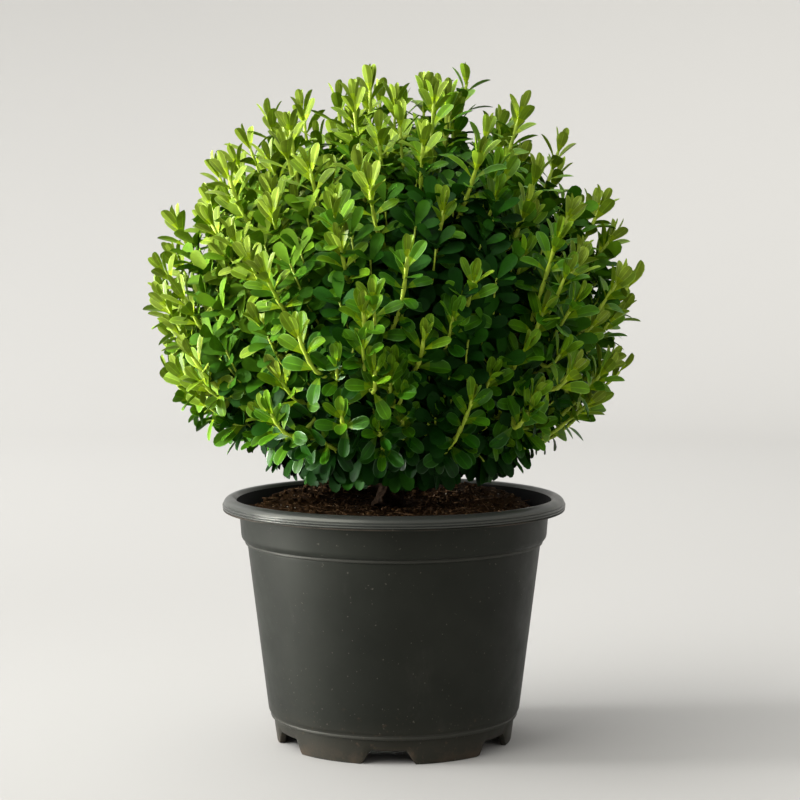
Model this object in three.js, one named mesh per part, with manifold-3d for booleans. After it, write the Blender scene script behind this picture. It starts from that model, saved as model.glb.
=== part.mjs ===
// A ball-shaped box shrub in its black nursery pot.
// Units are millimetres, +Z is up, and the origin is on the pot's axis at the level it stands on.
// The camera side of the plant is -Y. A short trunk stands on the potting soil. Boughs leave it in
// three rings, and each carries one mass of foliage; the top mass grows from the trunk's own tip.
import * as THREE from "three";
import { mergeVertices } from "three/addons/utils/BufferGeometryUtils.js";
import Module from "manifold-3d";

const wasm = await Module();
wasm.setup();

// Clearance that touching pieces keep between them
const GAP = 0.3;

// Pot: outer radii and heights of its bands, from the rolled rim down to the notched foot
const POT_HEIGHT = 172;
const POT_RIM_RADIUS = 120;
const POT_BAND_RADIUS = 107.5;
const POT_BAND_TOP = 162.4;
const POT_BAND_BOTTOM = 144;
const POT_SHOULDER_RADIUS = 102.6;
const POT_SHOULDER = 139.2;
const POT_HEEL_RADIUS = 88.3;
const POT_HEEL = 21.5;
const POT_FOOT_TOP_RADIUS = 85;
const POT_FOOT_TOP = 17.2;
const POT_FOOT_RADIUS = 82.5;
const POT_WALL = 2.2;
const POT_FLOOR = 10.5;
const POT_SEGMENTS = 45;
const FOOT_WALL = 4;
const FOOT_NOTCHES = 6;
const FOOT_NOTCH_TURN = -2.5; // degrees, of the notch nearest the camera
const FOOT_NOTCH_HEIGHT = 9.4;
const FOOT_NOTCH_WIDTH = 37;
const FOOT_NOTCH_CROWN = 24;
const DRAIN_HOLE_RADIUS = 6;
const DRAIN_HOLE_CIRCLE = 55;

// Soil: flat under the trunk, heaped up towards the back, and lowest along the pot's wall
const SOIL_MIDDLE = 165.5;
const SOIL_RISE = 6;
const SOIL_RISE_FROM = -40;
const SOIL_RISE_TO = 75;
const SOIL_EDGE = 159;
const SOIL_BRINK = 86;
const SOIL_LUMP = 0.8;
const SOIL_FLAT_RADIUS = 36;
const SOIL_UNEVEN_RADIUS = 60;
const SOIL_SEGMENTS = 24;

// Trunk: it leans from its foot to the axis, where the boughs leave it
const TRUNK_FOOT = new THREE.Vector3(-3, -17, SOIL_MIDDLE + GAP);
const TRUNK_TIP = new THREE.Vector3(0, 0, 238);
const TRUNK_BASE_RADIUS = 8.8;
const TRUNK_TIP_RADIUS = 5;
const TRUNK_KNEE = 0.4; // how far up it bends, as a share of its height
const ROOT_FLARE = 3.5;
const ROOT_FLARE_HEIGHT = 11;
const ROOT_BUTTRESSES = 5;

// Crown: how far its furthest tips reach from its middle, straight up, sideways and downwards
const CROWN_MIDDLE = new THREE.Vector3(1, 0, 314);
const CROWN_UPWARDS = 162;
const CROWN_SIDEWAYS = 173;
const CROWN_DOWNWARDS = 138;
const CROWN_UNDERSIDE = 184;

// The masses share the crown out as cones round the point that the boughs fan out from
const FAN_POINT = new THREE.Vector3(0, 0, 195);
const RINGS = [
  { name: "top", count: 1, polar: 0, turn: 0, leaves_trunk_at: null },
  { name: "upper", count: 5, polar: 28, turn: 20, leaves_trunk_at: 222 },
  { name: "middle", count: 6, polar: 54, turn: -12, leaves_trunk_at: 208 },
  { name: "lower", count: 6, polar: 82, turn: 14, leaves_trunk_at: 192 },
];
const BOUGH_STAGGER = 8; // how much higher the last bough of a ring leaves than the first
const BOUGH_BASE_RADIUS = 3;
const BOUGH_TIP_RADIUS = 2.2;
const BOUGH_ENDS = 0.44; // share of the way from the fan point to the crown's outline

// The masses' dense cores, as shares of the crown's size: each is domed and lumpy
const CORE_FROM = 0.57;
const CORE_UPWARDS = 0.77;
const CORE_SIDEWAYS = 0.85;
const CORE_DOWNWARDS = 0.86;
const CORE_UNDERSIDE = 195;
const CORE_GAP = 0.5;
const CORE_LUMP = 0.03;
const CORE_DOME = 0.08;

// Shoots and leaves, larger than life so that a few hundred of them fill the crown
const SEED = 9;
const SHOOTS = 129;
const SHOOT_UNEVEN = 0.12; // how much nearer than the outline a shoot may end, as a share
// The shoots that stand on the outline seen from the front: degrees clockwise from straight up,
// and reach from the crown's middle
const OUTLINE_SHOOTS = [
  [-86, 170], [-69, 168], [-53, 160], [-34, 161], [-15, 152], [-6, 158],
  [8, 155], [18, 169], [31, 149], [46, 164], [64, 165], [84, 172], [105, 173], [-105, 170],
];
const OUTLINE_BAND = 24; // how far from the middle plane the even spread of shoots leaves free
const SHOOT_PULL = 0.1; // how far a shoot leans to the middle of its mass, as a share
const SHOOT_LIFT = 0.75; // how strongly a shoot turns up, beside its way outwards
const SHOOT_DROOP = 0.9; // how much of that the lowest shoots lose
const SHOOT_STEPS = 2;
const SHOOT_BASE_RADIUS = 2.2;
const SHOOT_TIP_RADIUS = 1.6;
const LEAF_PAIRS = 3;
const LEAF_SPACING = 12;
const LEAF_OPENING = 22; // degrees between the twig and its first leaves
const LEAF_OPENING_MORE = 16; // added for each pair further down
const LEAF_SPLAY = 30; // added for the lowest shoots
const LEAF_LENGTH = 29;
const LEAF_WIDTH = 17;
const LEAF_KEEL = 2; // how far its midrib stands out below, which is its thickness
const LEAF_SUNK = 0.3; // how far past the middle of the twig its root is
const LEAF_STAGGER = 3.6; // how far apart the two leaves of a pair leave the twig

const UP = new THREE.Vector3(0, 0, 1);

const material = (color, roughness) =>
  new THREE.MeshStandardMaterial({ color, roughness, metalness: 0 });
const POT_PLASTIC = material(0x33352f, 0.6);
const POTTING_SOIL = material(0x3a2417, 0.95);
const BARK = material(0x6b5a3e, 0.9);
const FOLIAGE = material(0x4d7f22, 0.5);

// A small repeatable random number generator: each call gives a number from 0 to 1.
function seeded(seed) {
  let state = seed >>> 0;
  return () => {
    state = (state + 0x6d2b79f5) >>> 0;
    let mixed = Math.imul(state ^ (state >>> 15), 1 | state);
    mixed = (mixed + Math.imul(mixed ^ (mixed >>> 7), 61 | mixed)) ^ mixed;
    return ((mixed ^ (mixed >>> 14)) >>> 0) / 4294967296;
  };
}

function smoothStep(from, to, value) {
  const share = Math.min(1, Math.max(0, (value - from) / (to - from)));
  return share * share * (3 - 2 * share);
}

// Closed geometry to a manifold solid, by its positions alone.
function solidOf(geometry) {
  const bare = new THREE.BufferGeometry();
  bare.setAttribute("position", geometry.getAttribute("position"));
  bare.setIndex(geometry.index);
  const merged = mergeVertices(bare, 1e-4);
  return new wasm.Manifold(
    new wasm.Mesh({
      numProp: 3,
      vertProperties: new Float32Array(merged.attributes.position.array),
      triVerts: new Uint32Array(merged.index.array),
    }),
  );
}

function meshOf(name, solid, itsMaterial) {
  const { numProp, numVert, vertProperties, triVerts } = solid.getMesh();
  const positions = new Float32Array(numVert * 3);
  for (let i = 0; i < numVert; i += 1) {
    positions.set(vertProperties.subarray(i * numProp, i * numProp + 3), i * 3);
  }
  const geometry = new THREE.BufferGeometry();
  geometry.setAttribute("position", new THREE.BufferAttribute(positions, 3));
  geometry.setIndex(new THREE.BufferAttribute(new Uint32Array(triVerts), 1));
  geometry.computeVertexNormals();
  const mesh = new THREE.Mesh(geometry, itsMaterial);
  mesh.name = name;
  return mesh;
}

// Joins solids into one body: hollows that the fusing seals are filled and loose scraps dropped.
function fused(solids) {
  const bodies = wasm.Manifold.union(solids).decompose();
  return bodies.reduce((a, b) => (a.volume() >= b.volume() ? a : b));
}

// Moves each corner of a geometry to where place(corner) says.
function moved(geometry, place) {
  const positions = geometry.getAttribute("position");
  const corner = new THREE.Vector3();
  for (let i = 0; i < positions.count; i += 1) {
    corner.fromBufferAttribute(positions, i);
    const { x, y, z } = place(corner);
    positions.setXYZ(i, x, y, z);
  }
  return geometry;
}

// Two directions square to a third, as sideways axes for what is built along it.
function sideways(along) {
  const helper = Math.abs(along.z) > 0.9 ? new THREE.Vector3(1, 0, 0) : UP;
  const across = new THREE.Vector3().crossVectors(helper, along).normalize();
  return [across, new THREE.Vector3().crossVectors(along, across)];
}

// A round tapering limb along a curve, with radius(share of the way, angle round it).
function limb(curve, radius, sides, steps) {
  const straight = new THREE.CylinderGeometry(1, 1, 1, sides, steps);
  const { normals, binormals } = curve.computeFrenetFrames(steps);
  return moved(straight, (corner) => {
    const share = corner.y + 0.5;
    const step = Math.round(share * steps);
    const size = radius(share, Math.atan2(corner.x, corner.z));
    return curve
      .getPointAt(share)
      .addScaledVector(normals[step], corner.z * size)
      .addScaledVector(binormals[step], corner.x * size);
  });
}

const tapered = (from, to) => (share) => from + (to - from) * share;

// A body turned from (radius, height) points, about +Z.
function turned(profile, segments) {
  const points = profile.map(([radius, height]) => new THREE.Vector2(radius, height));
  return new THREE.LatheGeometry(points, segments).rotateX(Math.PI / 2);
}

// Inner radius of the pot's wall at a height: it widens faster above the shoulder.
function potInside(height) {
  const { mapLinear } = THREE.MathUtils;
  const outside =
    height < POT_SHOULDER
      ? mapLinear(height, POT_HEEL, POT_SHOULDER, POT_HEEL_RADIUS, POT_SHOULDER_RADIUS)
      : mapLinear(height, POT_SHOULDER, POT_BAND_TOP, POT_SHOULDER_RADIUS, POT_BAND_RADIUS);
  return outside - POT_WALL;
}

function potNotches() {
  const trapezium = new THREE.Shape([
    new THREE.Vector2(-FOOT_NOTCH_WIDTH / 2, -1),
    new THREE.Vector2(FOOT_NOTCH_WIDTH / 2, -1),
    new THREE.Vector2(FOOT_NOTCH_CROWN / 2, FOOT_NOTCH_HEIGHT),
    new THREE.Vector2(-FOOT_NOTCH_CROWN / 2, FOOT_NOTCH_HEIGHT),
  ]);
  const depth = POT_FOOT_TOP_RADIUS - POT_FOOT_RADIUS + FOOT_WALL * 4;
  return Array.from({ length: FOOT_NOTCHES }, (_, i) => {
    const turn = THREE.MathUtils.degToRad(FOOT_NOTCH_TURN) + (i * 2 * Math.PI) / FOOT_NOTCHES;
    const notch = new THREE.ExtrudeGeometry(trapezium, { depth, bevelEnabled: false })
      .rotateX(Math.PI / 2)
      .translate(0, -POT_FOOT_RADIUS + depth / 2, 0)
      .rotateZ(turn);
    return solidOf(notch);
  });
}

function potDrainHoles() {
  return Array.from({ length: FOOT_NOTCHES }, (_, i) => {
    const turn = (i * 2 * Math.PI) / FOOT_NOTCHES;
    const hole = new THREE.CylinderGeometry(DRAIN_HOLE_RADIUS, DRAIN_HOLE_RADIUS, 20, 12)
      .rotateX(Math.PI / 2)
      .translate(DRAIN_HOLE_CIRCLE, 0, POT_FLOOR)
      .rotateZ(turn);
    return solidOf(hole);
  });
}

function pot() {
  const rim = POT_RIM_RADIUS;
  const top = POT_HEIGHT;
  const shell = turned(
    [
      [0, POT_FLOOR],
      [POT_FOOT_RADIUS - FOOT_WALL, POT_FLOOR],
      [POT_FOOT_RADIUS - FOOT_WALL, 0],
      [POT_FOOT_RADIUS, 0],
      [POT_FOOT_TOP_RADIUS, POT_FOOT_TOP],
      [POT_HEEL_RADIUS - 1, POT_FOOT_TOP + 1],
      [POT_HEEL_RADIUS, POT_HEEL],
      [POT_SHOULDER_RADIUS, POT_SHOULDER],
      [POT_SHOULDER_RADIUS + 1.4, POT_SHOULDER + 0.3],
      [POT_SHOULDER_RADIUS + 1.5, POT_SHOULDER + 2.2],
      [POT_BAND_RADIUS - 0.6, POT_BAND_BOTTOM],
      [POT_BAND_RADIUS + 0.8, POT_BAND_TOP],
      [rim - 0.6, POT_BAND_TOP + 0.3],
      [rim, top - 7],
      [rim - 0.6, top - 4.7],
      [rim - 1.7, top - 4.2],
      [rim - 1.9, top - 2.9],
      [rim - 4, top - 0.9],
      [rim - 7, top],
      [rim - 9.2, top - 1.4],
      [potInside(POT_BAND_TOP), POT_BAND_TOP],
      [potInside(POT_SHOULDER), POT_SHOULDER],
      [potInside(POT_HEEL), POT_HEEL],
      [potInside(POT_HEEL) - 4, POT_FLOOR + POT_WALL],
      [0, POT_FLOOR + POT_WALL],
    ],
    POT_SEGMENTS,
  );
  return solidOf(shell)
    .subtract(wasm.Manifold.union(potNotches()))
    .subtract(wasm.Manifold.union(potDrainHoles()));
}

// Height of the soil's surface at a place, where its edge has the given radius.
function soilHeight(x, y, edge) {
  const distance = Math.hypot(x, y);
  const uneven = smoothStep(SOIL_FLAT_RADIUS, SOIL_UNEVEN_RADIUS, distance);
  const lumps = Math.sin(x * 0.11 + 1) * Math.cos(y * 0.13 - 2) + Math.sin(x * 0.05 - y * 0.21);
  const rise = SOIL_RISE * smoothStep(SOIL_RISE_FROM, SOIL_RISE_TO, y);
  const heap = SOIL_MIDDLE + uneven * (rise + SOIL_LUMP * lumps);
  return heap + (SOIL_EDGE - heap) * smoothStep(SOIL_BRINK, edge, distance);
}

function soil() {
  const against = (height) => [potInside(height) - GAP, height];
  const heel = potInside(POT_HEEL) - GAP;
  const underside = POT_FLOOR + POT_WALL + GAP;
  const [edge] = against(SOIL_EDGE);
  const radii = [edge, 97, SOIL_BRINK, 74, SOIL_UNEVEN_RADIUS, SOIL_FLAT_RADIUS, 0];
  const surface = radii.map((radius) => [radius, SOIL_MIDDLE]);
  const sides = [[0, underside], [heel - 4, underside], against(POT_HEEL), against(POT_SHOULDER)];
  const body = moved(turned([...sides, ...surface], SOIL_SEGMENTS), ({ x, y, z }) => {
    const onSurface = z > SOIL_MIDDLE - 0.01;
    return { x, y, z: onSurface ? soilHeight(x, y, edge) : z };
  });
  return solidOf(body);
}

// The trunk leans up from its foot to the pot's axis, which its knee and its tip are on.
function trunkCurve() {
  const knee = new THREE.Vector3(0, 0, TRUNK_FOOT.z + (TRUNK_TIP.z - TRUNK_FOOT.z) * TRUNK_KNEE);
  return new THREE.QuadraticBezierCurve3(TRUNK_FOOT, knee, TRUNK_TIP);
}

function trunkMiddle(height) {
  const share = (height - TRUNK_FOOT.z) / (TRUNK_TIP.z - TRUNK_FOOT.z);
  const rest = 1 - 2 * TRUNK_KNEE;
  return trunkCurve().getPoint((Math.sqrt(TRUNK_KNEE ** 2 + rest * share) - TRUNK_KNEE) / rest);
}

// The trunk, or with grown set a copy that much fatter, to cut what must stay clear of it.
function trunk(grown = 0) {
  const height = TRUNK_TIP.z - TRUNK_FOOT.z;
  const radius = (share, angle) => {
    const flare = Math.exp((-share * height) / ROOT_FLARE_HEIGHT) * ROOT_FLARE;
    const buttress = 0.6 + 0.4 * Math.cos(ROOT_BUTTRESSES * angle);
    return tapered(TRUNK_BASE_RADIUS, TRUNK_TIP_RADIUS)(share) + flare * buttress + grown;
  };
  const stem = moved(limb(trunkCurve(), radius, 20, 9), ({ x, y, z }) => ({
    x,
    y,
    z: z < TRUNK_FOOT.z + 3 ? TRUNK_FOOT.z : z,
  }));
  return solidOf(stem);
}

// Distance from the crown's middle to its outline, in a direction.
function crownRadius(direction) {
  const towards = direction.z > 0 ? CROWN_UPWARDS : CROWN_DOWNWARDS;
  return CROWN_SIDEWAYS + (towards - CROWN_SIDEWAYS) * direction.z ** 2;
}

function insideCrown(point, share) {
  const fromMiddle = point.clone().sub(CROWN_MIDDLE);
  const distance = fromMiddle.length();
  return distance < crownRadius(fromMiddle.divideScalar(distance)) * share;
}

// Distance from the fan point to the crown's outline, in a direction.
function reach(direction) {
  let near = 0;
  let far = 2 * CROWN_SIDEWAYS;
  while (far - near > 0.05) {
    const middle = (near + far) / 2;
    if (insideCrown(FAN_POINT.clone().addScaledVector(direction, middle), 1)) {
      near = middle;
    } else {
      far = middle;
    }
  }
  return near;
}

// Angles in degrees: polar from straight up, azimuth from -Y towards +X.
function directionOf(polar, azimuth) {
  const [down, round] = [polar, azimuth].map(THREE.MathUtils.degToRad);
  return new THREE.Vector3(
    Math.sin(down) * Math.sin(round),
    -Math.sin(down) * Math.cos(round),
    Math.cos(down),
  );
}

// Each mass: its name, the ring it belongs to, and the way it lies from the fan point.
const masses = RINGS.flatMap((ring) =>
  Array.from({ length: ring.count }, (_, i) => ({
    name: ring.count === 1 ? ring.name : `${ring.name}_${i + 1}`,
    ring,
    stagger: ((i * 2) % ring.count) / ring.count,
    direction: directionOf(ring.polar, ring.turn + (i * 360) / ring.count),
  })),
);
for (const mass of masses) {
  mass.walls = masses
    .filter((other) => other !== mass)
    .map((other) => other.direction.clone().sub(mass.direction).normalize());
}

// The mass in whose cone a point lies.
function massAt(point) {
  const fromFan = point.clone().sub(FAN_POINT);
  const closeness = (mass) => fromFan.dot(mass.direction);
  return masses.reduce((a, b) => (closeness(a) >= closeness(b) ? a : b));
}

// Whether a point lies in a mass's own cone, at least a clearance from its walls.
function inCone(mass, point, clearance) {
  const fromFan = point.clone().sub(FAN_POINT);
  return mass.walls.every((wall) => fromFan.dot(wall) <= -clearance);
}

const along = (mass, share) =>
  FAN_POINT.clone().addScaledVector(mass.direction, share * reach(mass.direction));

function boughCurve(mass) {
  const height = mass.ring.leaves_trunk_at + mass.stagger * BOUGH_STAGGER;
  const start = trunkMiddle(height);
  const end = along(mass, BOUGH_ENDS);
  const bend = end.clone().addScaledVector(mass.direction, -0.5 * start.distanceTo(end));
  return new THREE.QuadraticBezierCurve3(start, bend, end);
}

function bough(mass, clearOfTrunk) {
  const taper = tapered(BOUGH_BASE_RADIUS, BOUGH_TIP_RADIUS);
  const whole = solidOf(limb(boughCurve(mass), taper, 6, 2));
  const bodies = whole.subtract(clearOfTrunk).decompose();
  return bodies.reduce((a, b) => (a.boundingBox().max[2] >= b.boundingBox().max[2] ? a : b));
}

// The stem that a mass grows from: it starts just clear of its bough, or of the trunk's tip.
function stemEnds(mass) {
  const from = mass.ring.leaves_trunk_at === null ? TRUNK_TIP.clone() : along(mass, BOUGH_ENDS);
  const to = along(mass, 0.7);
  const way = to.clone().sub(from).normalize();
  return [from.addScaledVector(way, GAP), to];
}

function stem(mass) {
  const [from, to] = stemEnds(mass);
  const radius = mass.ring.leaves_trunk_at === null ? TRUNK_TIP_RADIUS : BOUGH_TIP_RADIUS;
  return solidOf(limb(new THREE.LineCurve3(from, to), tapered(radius, radius * 0.7), 6, 1));
}

// Distance from the crown's middle to the cores' outside: it sinks in between two masses.
function coreRadius(way) {
  const towards = way.z > 0 ? CORE_UPWARDS : CORE_DOWNWARDS;
  const share = CORE_SIDEWAYS + (towards - CORE_SIDEWAYS) * smoothStep(0, 0.8, Math.abs(way.z));
  const lump = Math.sin(9 * way.x + 1) * Math.sin(9 * way.y) * Math.sin(8 * way.z + 2);
  const fromFan = way.clone().multiplyScalar(CROWN_SIDEWAYS).add(CROWN_MIDDLE).sub(FAN_POINT);
  fromFan.normalize();
  const [nearest, next] = masses.map((mass) => -fromFan.dot(mass.direction)).sort((a, b) => a - b);
  const dip = 1 - smoothStep(0, 0.12, next - nearest);
  return crownRadius(way) * (share + CORE_LUMP * lump - CORE_DOME * dip);
}

// The crown's dense heart, hollow where only boughs are, before the masses divide it.
function denseHeart() {
  const outside = moved(new THREE.IcosahedronGeometry(1, 4), (corner) => {
    const way = corner.clone();
    const point = CROWN_MIDDLE.clone().addScaledVector(way, coreRadius(way));
    point.z = Math.max(point.z, CORE_UNDERSIDE);
    return point;
  });
  const hollow = moved(new THREE.IcosahedronGeometry(1, 1), (way) =>
    FAN_POINT.clone().addScaledVector(way, reach(way) * CORE_FROM),
  );
  return solidOf(outside).subtract(solidOf(hollow));
}

function insideCore(point) {
  const fromMiddle = point.clone().sub(CROWN_MIDDLE);
  return fromMiddle.length() < coreRadius(fromMiddle.clone().normalize());
}

// The half of space beyond one wall of a mass's cone, as a block to cut with.
function beyondWall(wall, clearance) {
  const size = 4 * CROWN_SIDEWAYS;
  const block = new THREE.BoxGeometry(size, size, size).translate(0, 0, size / 2 - clearance);
  block.applyQuaternion(new THREE.Quaternion().setFromUnitVectors(UP, wall));
  return solidOf(block.translate(...FAN_POINT));
}

function core(mass, heart) {
  return mass.walls.reduce((body, wall) => body.subtract(beyondWall(wall, CORE_GAP)), heart);
}

// One leaf: its root and tip are joined by the keel below, its two widest points lie above it.
function leaf(root, way, face) {
  const across = new THREE.Vector3().crossVectors(face, way);
  const at = (along, side, height) =>
    root
      .clone()
      .addScaledVector(way, along)
      .addScaledVector(across, side)
      .addScaledVector(face, height);
  return moved(new THREE.TetrahedronGeometry(1), ({ x, y, z }) =>
    z > 0
      ? at(x > 0 ? LEAF_LENGTH : 0, 0, -LEAF_KEEL / 2)
      : at(LEAF_LENGTH * 0.62, (-Math.sign(y) * LEAF_WIDTH) / 2, LEAF_KEEL / 2),
  );
}

function cornersOf(geometry) {
  const positions = geometry.getAttribute("position");
  return Array.from({ length: positions.count }, (_, i) =>
    new THREE.Vector3().fromBufferAttribute(positions, i),
  );
}

// How much a shoot belongs to the crown's underside, from 0 to 1.
function lowness(tip) {
  return smoothStep(0.2, 0.75, (CROWN_MIDDLE.z - tip.z) / CROWN_DOWNWARDS);
}

const firstOpening = (tip) => THREE.MathUtils.degToRad(LEAF_OPENING + LEAF_SPLAY * lowness(tip));

// The curve of a shoot, from its mass's stem to a tip, turning up as it goes.
function shootCurve(mass, tip, random) {
  const growth = tip.clone().sub(CROWN_MIDDLE).normalize();
  growth.addScaledVector(UP, SHOOT_LIFT * (1 - SHOOT_DROOP * lowness(tip))).normalize();
  const end = tip.clone().addScaledVector(growth, -LEAF_LENGTH * Math.cos(firstOpening(tip)));
  const [from, to] = stemEnds(mass);
  const start = from.lerp(to, 0.5 + 0.45 * random());
  const bend = end.clone().addScaledVector(growth, -0.5 * start.distanceTo(end));
  return new THREE.QuadraticBezierCurve3(start, bend, end);
}

// A shoot's twig and its leaves in crosswise pairs. What would leave the mass's cone is skipped.
function shoot(mass, tip, random) {
  const curve = shootCurve(mass, tip, random);
  const clear = SHOOT_BASE_RADIUS + GAP;
  if (!curve.getPoints(8).every((point) => inCone(mass, point, clear))) return [];
  const taper = tapered(SHOOT_BASE_RADIUS, SHOOT_TIP_RADIUS);
  const pieces = [solidOf(limb(curve, taper, 3, SHOOT_STEPS))];
  const length = curve.getLength();
  const firstTurn = random() * Math.PI;
  for (let pair = 0; pair < LEAF_PAIRS; pair += 1) {
    const more = LEAF_OPENING_MORE * (pair + 0.5 * (random() - 0.5));
    const opening = firstOpening(tip) + THREE.MathUtils.degToRad(more);
    for (const side of [0, 1]) {
      const share = 1 - (pair * LEAF_SPACING + side * LEAF_STAGGER + SHOOT_TIP_RADIUS) / length;
      const axis = curve.getTangentAt(share);
      const [across, upward] = sideways(axis);
      const turn = firstTurn + (pair / 2 + side) * Math.PI;
      const outward = across
        .clone()
        .multiplyScalar(Math.cos(turn))
        .addScaledVector(upward, Math.sin(turn));
      const way = axis
        .clone()
        .multiplyScalar(Math.cos(opening))
        .addScaledVector(outward, Math.sin(opening));
      const face = axis.clone().addScaledVector(way, -axis.dot(way)).normalize();
      const root = curve.getPointAt(share).addScaledVector(outward, -LEAF_SUNK);
      const blade = leaf(root, way, face);
      const corners = cornersOf(blade);
      const keeps = (corner) =>
        corner.z > CROWN_UNDERSIDE && inCone(mass, corner, GAP) && insideCrown(corner, 1.04);
      const shows = !insideCore(root.clone().addScaledVector(way, LEAF_LENGTH * 0.6));
      if (shows && corners.every(keeps)) pieces.push(solidOf(blade));
    }
  }
  return pieces;
}

// The tips of shoots spread evenly over the crown's outline along a spiral.
function spiralTips(random) {
  const goldenTurn = 180 * (3 - Math.sqrt(5));
  const lowest = Math.cos(THREE.MathUtils.degToRad(138));
  return Array.from({ length: SHOOTS }, (_, i) => {
    const height = 1 - ((i + 0.5) / SHOOTS) * (1 - lowest);
    const polar = THREE.MathUtils.radToDeg(Math.acos(height)) + 6 * (random() - 0.5);
    const way = directionOf(polar, i * goldenTurn + 10 * (random() - 0.5));
    const distance = crownRadius(way) * (1 - SHOOT_UNEVEN * random());
    const tip = CROWN_MIDDLE.clone().addScaledVector(way, distance);
    const middle = massAt(tip).direction.clone().multiplyScalar(tip.distanceTo(FAN_POINT));
    return tip.lerp(middle.add(FAN_POINT), SHOOT_PULL);
  });
}

function outlineTips(random) {
  return OUTLINE_SHOOTS.map(([turn, distance]) => {
    const tip = directionOf(turn, 90).multiplyScalar(distance).add(CROWN_MIDDLE);
    tip.y += (random() - 0.5) * OUTLINE_BAND;
    return tip;
  });
}

function shootTips(random) {
  const free = (tip) => tip.z > CROWN_MIDDLE.z && Math.abs(tip.y) < OUTLINE_BAND;
  return [...spiralTips(random).filter((tip) => !free(tip)), ...outlineTips(random)];
}

function foliage(mass, tips, heart, random) {
  const own = tips.filter((tip) => massAt(tip) === mass);
  const shoots = own.flatMap((tip) => shoot(mass, tip, random));
  return fused([core(mass, heart), stem(mass), ...shoots]);
}

const random = seeded(SEED);
const tips = shootTips(random);
const heart = denseHeart();
const clearOfTrunk = trunk(GAP);
const plant = new THREE.Group();
plant.add(meshOf("pot", pot(), POT_PLASTIC));
plant.add(meshOf("soil", soil(), POTTING_SOIL));
plant.add(meshOf("trunk", trunk(), BARK));
for (const mass of masses) {
  if (mass.ring.leaves_trunk_at !== null) {
    plant.add(meshOf(`bough_${mass.name}`, bough(mass, clearOfTrunk), BARK));
  }
  plant.add(meshOf(`foliage_${mass.name}`, foliage(mass, tips, heart, random), FOLIAGE));
}

export default plant;
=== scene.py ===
"""A ball-shaped box shrub in its black nursery pot: its looks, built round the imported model.

Sizes are written in millimetres, in the model's own frame, and MM turns them to metres.
The camera side of the plant is -Y. The crown grows by the same rule as the solids: boughs leave the
trunk in three rings, each carries one mass, and shoots end at tips spread over the crown's outline.
"""

import math

import bmesh
import bpy
import numpy as np
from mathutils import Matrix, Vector, noise


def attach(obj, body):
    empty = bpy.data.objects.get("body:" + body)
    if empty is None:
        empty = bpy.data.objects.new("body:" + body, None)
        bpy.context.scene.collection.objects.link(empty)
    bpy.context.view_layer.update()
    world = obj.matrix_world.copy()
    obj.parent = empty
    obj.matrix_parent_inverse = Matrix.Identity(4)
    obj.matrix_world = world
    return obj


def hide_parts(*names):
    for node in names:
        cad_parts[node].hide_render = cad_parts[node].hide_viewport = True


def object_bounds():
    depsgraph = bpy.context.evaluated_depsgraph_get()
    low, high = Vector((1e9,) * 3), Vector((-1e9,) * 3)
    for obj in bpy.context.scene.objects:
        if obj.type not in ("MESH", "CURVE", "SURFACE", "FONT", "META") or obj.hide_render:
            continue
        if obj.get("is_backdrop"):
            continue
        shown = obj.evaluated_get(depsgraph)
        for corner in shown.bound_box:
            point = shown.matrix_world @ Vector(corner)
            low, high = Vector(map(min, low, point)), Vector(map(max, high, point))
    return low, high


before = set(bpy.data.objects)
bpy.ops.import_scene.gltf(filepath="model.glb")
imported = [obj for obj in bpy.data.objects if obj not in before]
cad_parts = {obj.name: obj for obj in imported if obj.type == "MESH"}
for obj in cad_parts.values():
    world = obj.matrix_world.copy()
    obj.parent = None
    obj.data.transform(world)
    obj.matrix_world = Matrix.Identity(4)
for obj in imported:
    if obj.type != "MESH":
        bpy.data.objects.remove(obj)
cad_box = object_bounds()

MM = 0.001
GAP = 0.3  # between the pot, the soil and the trunk
GOLDEN_TURN = 180 * (3 - math.sqrt(5))  # degrees

# Pot
POT_HEIGHT = 172
RIM_RADIUS = 120
BAND_RADIUS = 107.5
BAND_TOP = 162.4
BAND_BOTTOM = 144
SHOULDER_RADIUS = 102.6
SHOULDER = 139.2
HEEL_RADIUS = 88.3
HEEL = 21.5
FOOT_TOP_RADIUS = 85
FOOT_TOP = 17.2
FOOT_RADIUS = 82.5
POT_WALL = 2.2
POT_FLOOR = 10.5
FOOT_WALL = 4
NOTCHES = 6
NOTCH_TURN = -2.5  # degrees, of the notch nearest the camera
NOTCH_HEIGHT = 9.4
NOTCH_WIDTH = 37
NOTCH_TOP_WIDTH = 24
DRAIN_RADIUS = 6
DRAIN_CIRCLE = 55
DRAIN_HOLES = 6
POT_SEGMENTS = 240
AXIS_RADIUS = 0.001  # of the rings that are welded to one point on the axis
RIM_BOTTOM = BAND_TOP + 1.5  # over this the rim is smoother, and painted paler as a painted sheen
RINGS_OVER_LIP = 8  # from the top of the rim to where the inner wall, painted darker as painted shade, starts

# Soil
SOIL_MIDDLE = 165.5
SOIL_RISE = 6
SOIL_RISE_FROM = -40
SOIL_RISE_TO = 75
SOIL_EDGE = 159
SOIL_BRINK = 86
SOIL_LUMP = 0.8
SOIL_FLAT_RADIUS = 36
SOIL_UNEVEN_RADIUS = 60
SOIL_CLODS = 3.2
SOIL_RINGS = 90
SOIL_SEGMENTS = 200
CLEAR_OF_TRUNK = 24  # no crumb or fibre lies nearer to the middle
FIBRES = 260
CRUMBS = [  # name, count, least and largest size, darker and lighter colour
    ("dark", 900, (0.7, 2.4), (0.01, 0.0045, 0.0015), (0.045, 0.023, 0.008)),
    ("tan", 190, (0.4, 1.1), (0.07, 0.042, 0.018), (0.2, 0.13, 0.07)),
    ("pale", 70, (0.3, 0.8), (0.25, 0.23, 0.18), (0.5, 0.48, 0.42)),
]

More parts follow.
